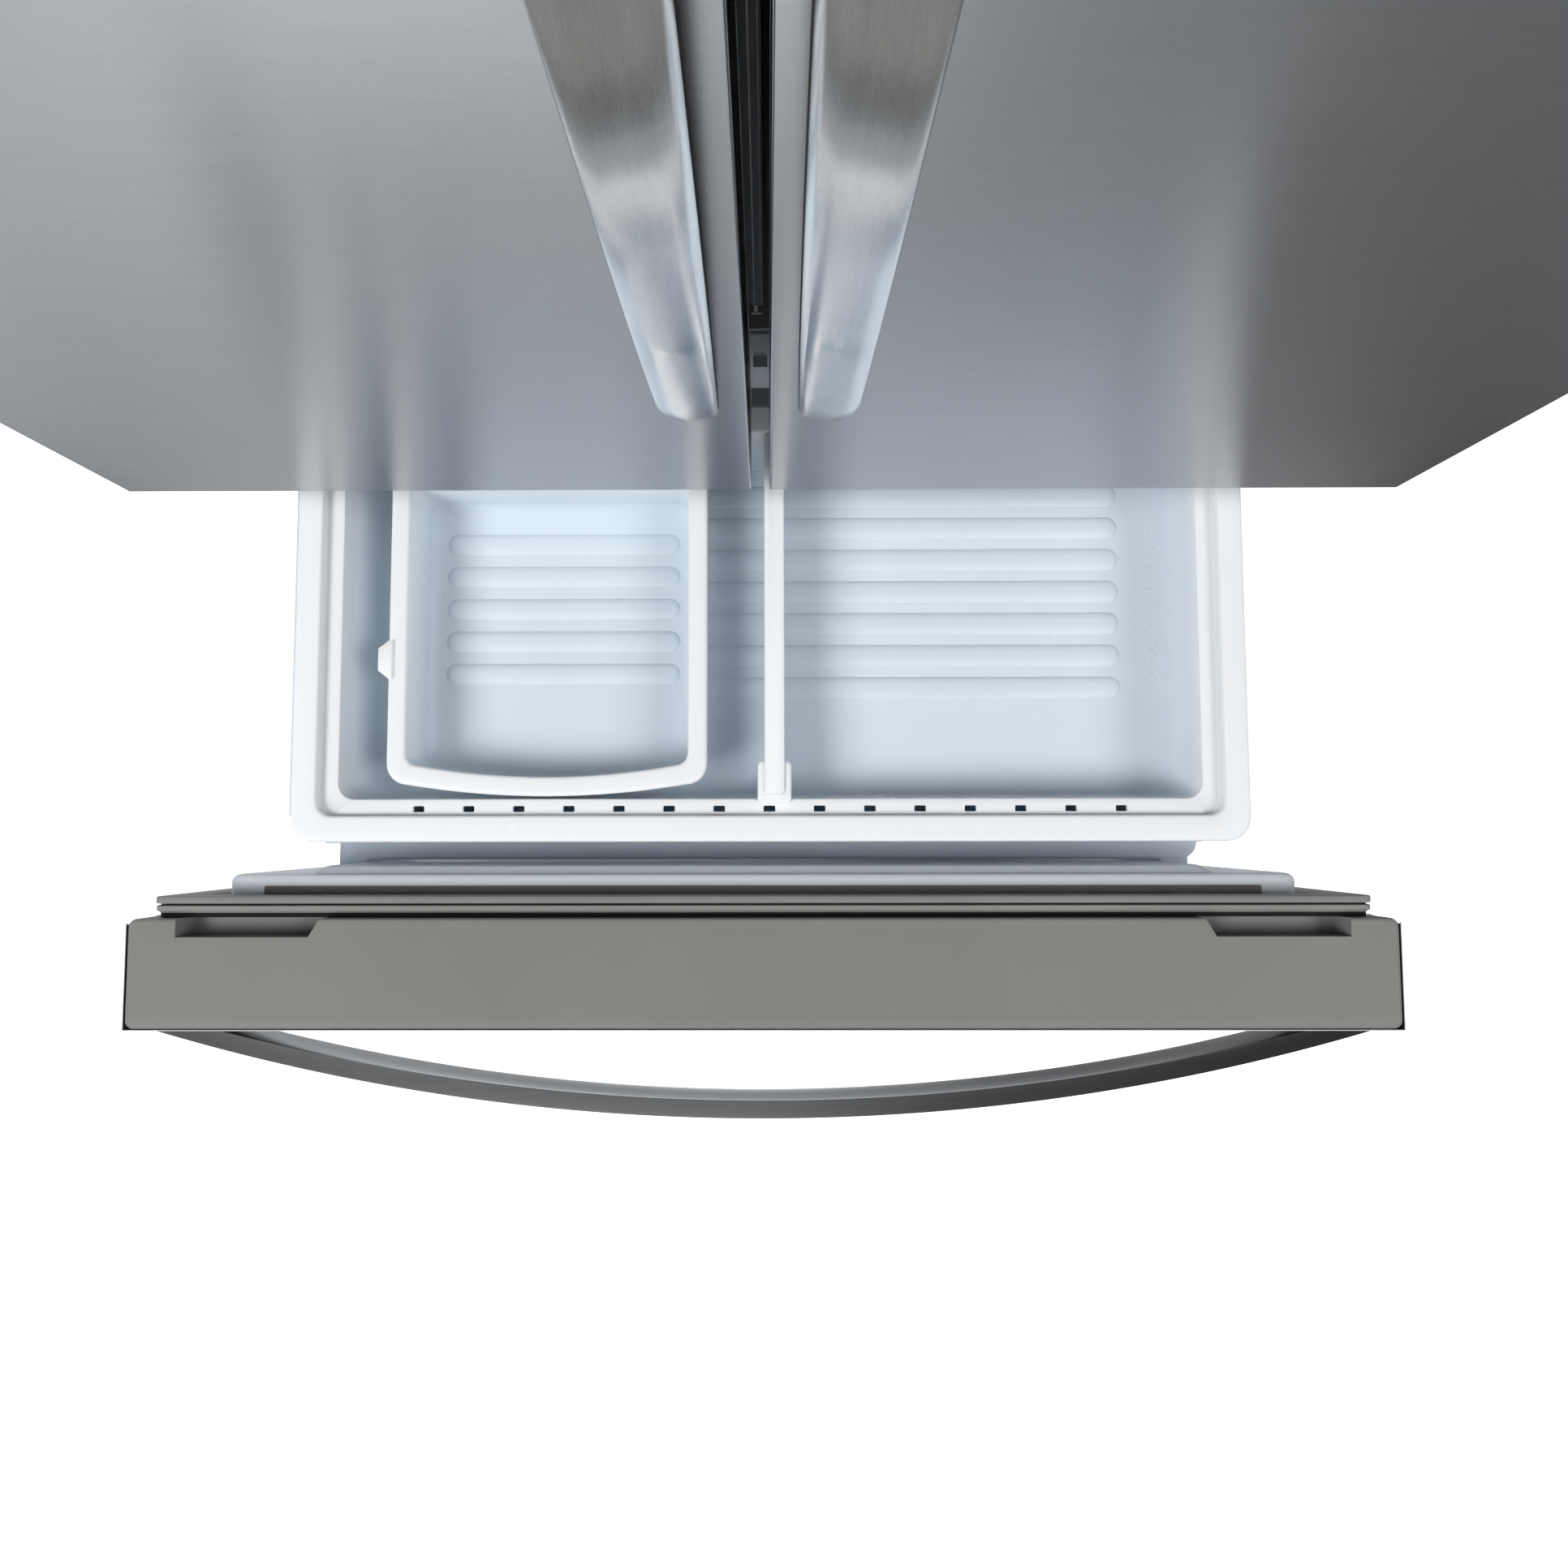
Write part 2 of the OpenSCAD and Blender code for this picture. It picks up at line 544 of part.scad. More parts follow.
// ---- hinges, rails and base pieces ----
leg_top = door_z + 7;
leg_low = drawer_top - 6.8;
module door_hinges() color("#4a4d50") placed() both_sides() difference() {
    bare_hinges();
    at_top_screws() screw_bore(top_screw);
    at_mid_screws() screw_bore(mid_screw);
}
module bare_hinges() {
    z = case_h;
    upright([pivot_x - 58, pivot_back - 14, z], [half_w - 5, front_y + 90, z + hinge_t], 8);
    rod_z(z - 3 - cap_door + 2, z + hinge_t, pivot_x, pivot_back, pin_r);
    plate_z = door_z - 10;
    slab([mouth - 88, pivot_back - 12, plate_z], [half_w - 4, front_y, plate_z + hinge_t]);
    slab([mouth - 88, front_y - 5, leg_low], [mouth + 2, front_y, leg_top]);
    rod_z(plate_z, door_z + cap_door - 2, pivot_x, pivot_back, pin_r);
    rod_z(plate_z + hinge_t, door_z - 0.5, pivot_x, pivot_back, pin_r + 4);
}

module hinge_covers() color("#3a3c3f") placed() both_sides() difference() {
    upright([pivot_x - 64, pivot_back - 22, case_h + 0.2],
        [half_w - 2, front_y + 100, case_h + hinge_cover_h], 10);
    slab([pivot_x - 61, pivot_back - 19, case_h - 1], [half_w - 4, front_y + 97, case_h + hinge_cover_h - 3]);
}

module hinge_screws() color("#b4b7ba") placed() both_sides() {
    at_top_screws() screw(top_screw, hinge_t + 10);
    at_mid_screws() screw(mid_screw, 10);
}

module channel(web, lip, z0, z1, y0, y1, t) { // a C rail: web at x = web, lips reaching to x = lip
    slab([min(web, web + t), y0, z0], [max(web, web + t), y1, z1]);
    for (z = [z0, z1 - t]) slab([min(web, lip), y0, z], [max(web, lip), y1, z + t]);
}
rail_t = 2.5;
module fixed_rails() color("#b9bdc1") placed() both_sides()
    channel(rail_web - rail_t, rail_web - 15, rail_z, rail_z + rail_h, rail_y, rail_y + rail_l, rail_t);

module middle_rails() color("#c4c8cc") translate([0, -drawer_open / 2, 0]) placed() both_sides() {
    z0 = rail_z + rail_t + 1;
    z1 = rail_z + rail_h - rail_t - 1;
    web = rail_web - 12;
    channel(web, rail_web - rail_t - 1, z0, z1, rail_y, rail_y + rail_l, rail_t);
    for (z = [z0 + 4, z1 - 4 - rail_t]) slab([web - 9, rail_y, z], [web, rail_y + rail_l, z + rail_t]);
}

frame_x = basket_w / 2 + 1;                  // inside of the arms that carry the upper basket
plate_x = rail_web - 31.5;                   // outside of the side plates
module drawer_frame() color("#aeb2b6") shifted_out() both_sides() {
    y0 = front_y + 46;
    web = rail_web - 24;
    z0 = rail_z + rail_t + 8.5;
    z1 = rail_z + rail_h - rail_t - 8.5;
    channel(web, rail_web - 13, z0 + 1.1, z1 - 1.1, rail_y - 2, rail_y - 2 + rail_l, rail_t);
    slab([plate_x, y0, z0 + 8], [web, rail_y - 2 + rail_l, z1 - 8]);
    slab([plate_x - 2, y0, rail_z - 30], [plate_x, lower_y + lower_l - 20, lower_z + 4]);
    slab([frame_x, y0, lower_z + 2], [plate_x, lower_y + lower_l - 20, lower_z + 4]);
    slab([frame_x, basket_y + 20, lower_z + 2], [frame_x + 2, basket_y + basket_l - 30, basket_z - 16]);
    slab([frame_x - 23, basket_y + 20, basket_z - 18],
        [frame_x + 2, basket_y + basket_l - 30, basket_z - 16]);
    slab([lower_w / 2 - 20, lower_y + 14, lower_z - 5.8],
        [plate_x - 1, lower_y + lower_l - 26, lower_z - 3.8]);
    slab([plate_x - 24, door_t + plateau_reach, rail_z - 30], [plate_x, y0, rail_z + rail_h + 30]);
}

module cord_gland() color("#17181a") placed() difference() {
    union() {
        rod_y(back_y - 8, back_y - 2, 290, 110, 16);
        rod_y(back_y - 8, back_y + rear_standoff, 290, 110, 12.8);
    }
    rod_y(back_y - 12, back_y + rear_standoff + 4, 290, 110, 4.5);
}

module roller(y) both_sides() {
    rod_x(roller_x - roller_w / 2, roller_x + roller_w / 2, y, roller_r, roller_r);
    rod_x(roller_x - roller_w / 2 - 4, roller_x + roller_w / 2 + 4, y, roller_r, 4);
}
module front_rollers() color("#e4e4e0") placed() roller(roller_y0);
module rear_rollers() color("#e4e4e0") placed() roller(roller_y1);

module levelling_leg() {
    rod_z(0, 7, leg_x, leg_y, foot_r);
    rod_z(7, 12, leg_x, leg_y, 9);
    rod_z(12, base_z - 2, leg_x, leg_y, 5);
}
module levelling_leg_left() color("#2a2b2d") placed() mirror([1, 0, 0]) levelling_leg();
module levelling_leg_right() color("#2a2b2d") placed() levelling_leg();

// ---- doors: drawn for the right side ----
module folded_skin(x0, x1, z0, z1) {
    difference() {
        translate([0, 0, z0]) linear_extrude(z1 - z0) union() {
            round_rect([x0, 0], [x1, door_t - plate_t - 8], skin_r);
            translate([x0, skin_r]) square([x1 - x0, door_t - plate_t - skin_r]);
        }
        translate([0, 0, z0 - 1]) linear_extrude(z1 - z0 + 2) union() {
            round_rect([x0 + skin_t, skin_t], [x1 - skin_t, door_t - plate_t - 10], skin_r - skin_t);
            translate([x0 + skin_t, skin_r + 4]) square([x1 - x0 - 2 * skin_t, door_t]);
        }
    }
}
module core(x0, x1, z0, z1) {                // block that fits inside a folded skin
    lo = skin_t + 0.2;
    upright([x0 + lo, lo, z0], [x1 - lo, door_t - plate_t - 8, z1], skin_r - skin_t);
    slab([x0 + lo, skin_r + 2, z0], [x1 - lo, door_t - plate_t - 0.2, z1]);
}
door_x0 = door_gap / 2;
module door_skin() folded_skin(door_x0, half_w, door_z, door_top);
module door_foam() core(door_x0, half_w, door_z + cap_door + 0.2, door_top - cap_door - 0.2);
module door_caps() for (z = [door_z, door_top - cap_door]) difference() {
    core(door_x0, half_w, z, z + cap_door);
    rod_z(z - 1, z + cap_door + 1, pivot_x, pivot_back, pin_r + run_gap);
}
module door_liner() {
    facing([door_x0 + 1, door_t - plate_t, door_z + 1], [half_w - 1, door_t, door_top - 1], 4);
    frame_ring([dyke_x0, door_t - 1, dyke_z0], [dyke_x1, door_t + dyke_reach, dyke_z1], dyke_r, dyke_t);
}
module door_gasket() frame_ring([door_x0 + 1.5, door_t, door_z + 8],
    [pivot_x - 2, door_t + seal_t, door_top - 8], 10, gasket_w);
module door_bins() for (z = bin_heights) {
    open_tub([dyke_x0 + dyke_t + 0.3, door_t + 1, z],
        [dyke_x1 - dyke_t - 0.3, door_t + 1 + bin_depth, z + bin_h], 2, tub_t, 10);
}
module door_handle() intersection() {
    translate([handle_x, 0, (door_z + door_top) / 2]) rotate([0, 0, -handle_lean]) rotate([0, 90, 0])
        translate([0, 0, -handle_w / 2]) linear_extrude(handle_w)
            bow(door_h - 2 * handle_end, handle_reach, handle_t);
    slab([0, -200, door_z], [half_w, -0.1, door_top]);
}

module right() { placed() children(); }
module left() { placed() mirror([1, 0, 0]) children(); }
module left_door_skin() color("#b9bcbf") left() door_skin();
module left_door_foam() color("#e8d9a0") left() door_foam();
module left_door_gasket() color("#1c1d1f") left() door_gasket();
module left_door_caps() color("#7d7e7b") left() door_caps();
module left_door_handle() color("#a9acae") left() door_handle();
module left_door_bins() color("#e6eef2") left() door_bins();
module right_door_skin() color("#a6a9ad") right() door_skin();
module right_door_foam() color("#e8d9a0") right() door_foam();
module right_door_liner() color("#f3f5f6") right() door_liner();
module right_door_gasket() color("#1c1d1f") right() door_gasket();
module right_door_caps() color("#7d7e7b") right() door_caps();
module right_door_handle() color("#a9acae") right() door_handle();
module right_door_bins() color("#e6eef2") right() door_bins();

module left_door_liner() color("#f3f5f6") {
    left() door_liner();
    placed() for (z = [bar_z0 - 12, bar_z1 + 1]) difference() {
        slab([-dyke_x0 - 0.5, bar_pivot.y - 7, z], [bar_pivot.x + 6, bar_pivot.y + 7, z + 11]);
        rod_z(z - 1, z + 12, bar_pivot.x, bar_pivot.y, bar_pin_r + run_gap);
    }
}

module mullion_bar() color("#3b3d41") placed() {
    slab([bar_x0, front_y + 0.6, bar_z0], [bar_x1, front_y + bar_d, bar_z1]);
    slab([bar_pivot.x - 4, bar_pivot.y - 4, bar_z0], [bar_x0, bar_pivot.y + 4, bar_z1]);
    rod_z(bar_z0 - 9, bar_z1 + 9, bar_pivot.x, bar_pivot.y, bar_pin_r);
}

// ---- drawer front ----
module drawer_skin() color("#b2b5b8") shifted_out() folded_skin(-half_w, half_w, drawer_z, drawer_top - 0.6);
module drawer_foam() color("#e8d9a0") shifted_out()
    core(-half_w, half_w, drawer_z + cap_t + 0.2, drawer_top - cap_t - 0.2);

pocket_x0 = mouth - 96;                      // notches that clear the middle hinges
pocket_x1 = mouth + 8;
pocket_d = 13;
module drawer_caps() color("#83837f") shifted_out() {
    core(-half_w, half_w, drawer_z, drawer_z + cap_t);
    difference() {
        union() {
            core(-half_w, half_w, drawer_top - cap_t, drawer_top);
            slab([-half_w + 1.5, door_t - plate_t - 1, drawer_top - cap_t],
                [half_w - 1.5, door_t, drawer_top]);
        }
        both_sides() translate([0, 0, drawer_top - cap_t + 4]) linear_extrude(cap_t)
            polygon([[pocket_x0, door_t + 1], [pocket_x0 + 9, door_t - pocket_d],
                [pocket_x1, door_t - pocket_d], [pocket_x1, door_t + 1]]);
    }
}

module drawer_liner() color("#eef2f6") shifted_out() {
    facing([-half_w + 1, door_t - plate_t, drawer_z + 1], [half_w - 1, door_t, drawer_top - cap_t - 0.2], 4);
    facing([-plateau_x, door_t - 1, plateau_z0], [plateau_x, door_t + plateau_reach, plateau_z1], 12);
    hull() {
        facing([-pad_x, door_t + plateau_reach - 1, plateau_z0 + 14],
            [pad_x, door_t + plateau_reach, plateau_z1 - 4], 10);
        facing([-pad_x + 8, door_t + plateau_reach, plateau_z0 + 22],
            [pad_x - 8, door_t + plateau_reach + pad_reach, plateau_z1 - 12], 10);
    }
}

module drawer_gasket() color("#55565a") shifted_out() {
    ring_x = half_w - 12;
    frame_ring([-ring_x, door_t, drawer_z + 12], [ring_x, door_t + seal_t, drawer_top - 8.3], 8, gasket_w);
}

module drawer_handle() color("#8f9193") shifted_out()
    translate([0, 0, drawer_top - drawer_handle_drop - handle_w]) linear_extrude(handle_w)
        intersection() {
            bow(body_w - 2 * drawer_handle_end, drawer_handle_reach, handle_t);
            translate([-half_w, -200]) square([body_w, 199.9]);
        }

// ---- baskets ----
module ledge_slots(x0, x1, y, z, count) {
    slot = [8, 4, 20];
    for (i = [0:count - 1]) translate([x0 + (x1 - x0) * i / (count - 1) - slot.x / 2, y, z - 10]) cube(slot);
}

module lower_basket() color("#e4ebf1") in_drawer() {
    x = lower_w / 2;
    inner = 32;
    difference() {
        union() {
            upright([-x, lower_y, lower_z - 3.5], [x, lower_y + lower_l, lower_z], 14);
            intersection() {
                facing([-x + inner - tub_t, lower_y + 13, lower_floor],
                    [x - inner + tub_t, lower_y + lower_l - 13, lower_z + 40], 22);
                slab([-x, lower_y, lower_floor], [x, lower_y + lower_l, lower_z - 1]);
            }
        }
        facing([-x + inner, lower_y + 13 + tub_t, lower_floor + tub_t],
            [x - inner, lower_y + lower_l - 13 - tub_t, lower_z + 40], 19);
        ledge_slots(-basket_w * 0.37, basket_w * 0.37, lower_y + 5, lower_z, 15);
    }
}

module tray_hollow(grow) {
    x = basket_w / 2 - rim_w - ledge_w + grow;
    facing([-x, basket_y + rim_w + ledge_w - grow, basket_floor - grow],
        [x, basket_y + basket_l - rim_w - 2 + grow, basket_z + 90], tray_r + grow);
}
module upper_basket() color("#f1f5f9") in_drawer() {
    x = basket_w / 2;
    y0 = basket_y;
    y1 = basket_y + basket_l;
    under = basket_z - ledge_drop - tub_t;
    difference() {
        union() {
            difference() {
                upright([-x, y0, basket_z - 14], [x, y1, basket_z], 15);
                upright([-x + rim_w, y0 + rim_w, basket_z - ledge_drop],
                    [x - rim_w, y1 - rim_w, basket_z + 1], 12);
                upright([-x + tub_t, y0 + tub_t, basket_z - 15], [x - tub_t, y1 - tub_t, under], 12);
            }
            intersection() {
                tray_hollow(tub_t);
                slab([-x, y0, basket_floor - tub_t], [x, y1, basket_z - ledge_drop]);
            }
        }
        tray_hollow(0);
        ledge_slots(-basket_w * 0.37, basket_w * 0.37, y0 + rim_w + 3, basket_z - ledge_drop, 15);
    }
    both_sides() slab([x - 17, y0 + 20, basket_z - 15.6], [x - 13, y1 - 20, under + 0.5]);
}

module storage_bin() color("#e9f0f5") in_drawer() {
    z0 = basket_floor + 0.5;
    z1 = basket_z - 6;
    rim = 15;
    front_r = 640;
    difference() {
        union() {
            upright([tub_x, tub_y + 9, z1 - 4], [tub_x + tub_w, tub_y + tub_l, z1], 16);
            intersection() {
                translate([tub_x + tub_w / 2, tub_y + front_r, z1 - 4]) cylinder(r = front_r, h = 4);
                slab([tub_x + 16, tub_y - 1, z1 - 4], [tub_x + tub_w - 16, tub_y + 40, z1]);
            }
            upright([tub_x + rim - tub_t, tub_y + 24 - tub_t, z0],
                [tub_x + tub_w - rim + tub_t, tub_y + tub_l - rim + tub_t, z1 - 1], 14);
            upright([tub_x - 8, tub_y + 81, z1 - 4], [tub_x + 20, tub_y + 114, z1], 5);
        }
        upright([tub_x + rim, tub_y + 24, z0 + 4], [tub_x + tub_w - rim, tub_y + tub_l - rim, z1 + 1], 12);
    }
}

module basket_divider() color("#f3f6f9") in_drawer() {
    half_t = 8;
    foot_x = 13;
    y0 = basket_y + rim_w + ledge_w + 0.5;
    y1 = basket_y + basket_l - rim_w - 2.5;
    slab([divider_x - half_t, y0 + 2, basket_floor + 0.5], [divider_x + half_t, y1, basket_z]);
    upright([divider_x - foot_x, basket_y + rim_w + 9, basket_z - ledge_drop + 0.4],
        [divider_x + foot_x, y0 + 30, basket_z - 3], 3);
}

cabinet_panels();
insulation_foam();
fresh_food_liner();
freezer_liner();
centre_rail();
back_cover();
base_frame();
toe_grille();
compressor();
condenser();
fan_shroud();
evaporator();
evaporator_cover();
air_duct();
control_panel();
shelf_tracks();
shelf_frames();
shelf_glasses();
door_hinges();
hinge_covers();
hinge_screws();
fixed_rails();
cord_gland();
front_rollers();
rear_rollers();
levelling_leg_left();
levelling_leg_right();
condenser_fan();
evaporator_fan();
button_colder();
button_warmer();
crisper_left();
crisper_right();
left_door_skin();
left_door_foam();
left_door_liner();
left_door_gasket();
left_door_caps();
left_door_handle();
left_door_bins();
mullion_bar();
right_door_skin();
right_door_foam();
right_door_liner();
right_door_gasket();
right_door_caps();
right_door_handle();
right_door_bins();
drawer_skin();
drawer_foam();
drawer_caps();
drawer_liner();
drawer_gasket();
drawer_handle();
drawer_frame();
middle_rails();
lower_basket();
upper_basket();
storage_bin();
basket_divider();
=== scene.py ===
import math
import bpy
import bmesh
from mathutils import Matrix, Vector


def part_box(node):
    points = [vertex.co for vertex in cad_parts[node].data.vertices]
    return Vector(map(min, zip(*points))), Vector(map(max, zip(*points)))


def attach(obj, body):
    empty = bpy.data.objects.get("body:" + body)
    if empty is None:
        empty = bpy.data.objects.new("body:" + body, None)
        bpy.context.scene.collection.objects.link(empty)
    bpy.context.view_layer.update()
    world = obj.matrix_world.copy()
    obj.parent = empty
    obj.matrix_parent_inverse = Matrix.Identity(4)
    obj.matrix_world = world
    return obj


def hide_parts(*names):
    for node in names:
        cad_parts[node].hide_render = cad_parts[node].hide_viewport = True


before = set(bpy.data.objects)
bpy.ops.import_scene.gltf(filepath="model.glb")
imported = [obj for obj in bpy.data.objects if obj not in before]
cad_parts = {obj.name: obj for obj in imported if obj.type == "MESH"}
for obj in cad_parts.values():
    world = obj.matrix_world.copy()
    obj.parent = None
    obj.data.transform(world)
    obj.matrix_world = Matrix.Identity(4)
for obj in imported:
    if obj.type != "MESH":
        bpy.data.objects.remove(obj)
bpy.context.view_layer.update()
print("frame loaded:", len(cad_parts), "nodes")

mm = 0.001


# shader nodes written as sums
class Wire:
    def __init__(self, shader, socket):
        self.shader = shader
        self.socket = socket

    def sum(self, operation, left, right):
        return self.shader.add("ShaderNodeMath", {"operation": operation}, {0: left, 1: right})[0]

    def __add__(self, other):
        return self.sum("ADD", self, other)

    def __radd__(self, other):
        return self.sum("ADD", other, self)

    def __sub__(self, other):
        return self.sum("SUBTRACT", self, other)

    def __rsub__(self, other):
        return self.sum("SUBTRACT", other, self)

    def __mul__(self, other):
        return self.sum("MULTIPLY", self, other)

    def __rmul__(self, other):
        return self.sum("MULTIPLY", other, self)


class Outputs:
    def __init__(self, shader, node):
        self.shader = shader
        self.node = node

    def __getitem__(self, key):
        return Wire(self.shader, self.node.outputs[key])


class Shader:
    def __init__(self, name, kind="materials"):
        self.material = getattr(bpy.data, kind).new(name)
        self.material.use_nodes = True
        self.tree = self.material.node_tree
        self.tree.nodes.clear()

    def add(self, kind, settings=None, values=None):
        node = self.tree.nodes.new(kind)
        for key, value in (settings or {}).items():
            if key == "stops":
                ramp = node.color_ramp
                while len(ramp.elements) < len(value):
                    ramp.elements.new(0.5)
                for element, (place, tone) in zip(ramp.elements, value):
                    element.position = place
                    element.color = (tone, tone, tone, 1)
            else:
                setattr(node, key, value)
        for key, value in (values or {}).items():
            if isinstance(value, Wire):
                self.tree.links.new(value.socket, node.inputs[key])
            else:
                node.inputs[key].default_value = value
        return Outputs(self, node)

    def place(self, scale, turn=(0, 0, 0)):
        where = self.add("ShaderNodeTexCoord")["Object"]
        return self.add("ShaderNodeMapping", None, {"Vector": where, "Scale": scale, "Rotation": turn})[0]

    def noise(self, scale, size, detail=3.0, rough=0.55):
        return self.add("ShaderNodeTexNoise", None, {
            "Vector": self.place(scale), "Scale": size, "Detail": detail, "Roughness": rough})[0]

    def ramp(self, value, stops):
        return self.add("ShaderNodeValToRGB", {"stops": stops}, {0: value})[0]

    def blend(self, factor, low, high, how="MIX"):
        return self.add("ShaderNodeMix", {"data_type": "RGBA", "blend_type": how}, {
            0: factor, 6: low, 7: high})[2]

    def bump(self, height, strength, distance):
        return self.add("ShaderNodeBump", None, {
            "Height": height, "Strength": strength, "Distance": distance})[0]

    def finish(self, values):
        surface = self.add("ShaderNodeBsdfPrincipled", None, values)[0]
        self.add("ShaderNodeOutputMaterial", None, {"Surface": surface})
        return self.material


def tint(colour, factor=1.0):
    return tuple(min(1.0, part * factor) for part in colour) + (1.0,)


# brushed metal; along names the direction that the grain runs in
brushed = {
    "skin": {"colour": (0.58, 0.585, 0.6), "grain": 0.06, "rough": 0.3, "bump": 0.015, "wave": 0.03,
             "long": 30.0, "across": 0.75, "turn": 0.25},
    "handle": {"colour": (0.9, 0.9, 0.895), "grain": 0.16, "rough": 0.18, "bump": 0.02, "wave": 0.02,
               "long": 16.0, "across": 0.85, "turn": 0.0},
    "bar": {"colour": (0.86, 0.86, 0.855), "grain": 0.13, "rough": 0.17, "bump": 0.02, "wave": 0.02,
            "long": 16.0, "across": 0.6, "turn": 0.25},
    "plated": {"colour": (0.62, 0.63, 0.65), "grain": 0.08, "rough": 0.33, "bump": 0.03, "wave": 0.1,
               "long": 9.0, "across": 0.3, "turn": 0.0},
}
grain = {"across": 620.0, "fine": 4.0, "fineShare": 0.7, "broad": 3.0, "broadStretch": 7, "broadShare": 0.3,
         "cloud": 3.2, "highlight": 0.6, "smear": 0.06, "smearTone": 0.8, "waveDepth": 0.0006,
         "grainDepth": 0.0003, "roughGrain": 0.12, "roughCloud": 0.06, "roughMiddle": 0.08}


def brushedMetal(name, finish, along):
    s = Shader(name)
    stretch = [grain["across"]] * 3
    stretch[along] = finish["long"]
    fine = s.noise(tuple(stretch), grain["fine"], 5.0, 0.7)
    broad = s.noise(tuple(part / grain["broadStretch"] for part in stretch), grain["broad"], 2.0)
    cloud = s.noise((1, 1, 1), grain["cloud"], 3.0)
    streaks = fine * grain["fineShare"] + broad * grain["broadShare"]
    tone = s.ramp(streaks, [(0.3, 0.0), (0.7, 1.0)])
    dark = tint(finish["colour"], 1 - finish["grain"])
    colour = s.blend(tone, dark, tint(finish["colour"], 1 + finish["grain"] * grain["highlight"]))
    smear = s.ramp(cloud, [(0.35, 0.0), (0.75, 1.0)])
    colour = s.blend(smear * grain["smear"], colour, tint(finish["colour"], grain["smearTone"]))
    rough = streaks * grain["roughGrain"] + cloud * grain["roughCloud"] + (finish["rough"] - grain["roughMiddle"])
    relief = s.bump(cloud, finish["wave"], grain["waveDepth"])
    relief = s.add("ShaderNodeBump", None, {
        "Height": streaks, "Strength": finish["bump"], "Distance": grain["grainDepth"], "Normal": relief})[0]
    return s.finish({"Base Color": colour, "Metallic": 1.0, "Roughness": rough, "Normal": relief,
                     "Anisotropic": finish["across"], "Anisotropic Rotation": finish["turn"]})


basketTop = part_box("upper_basket")[1].z

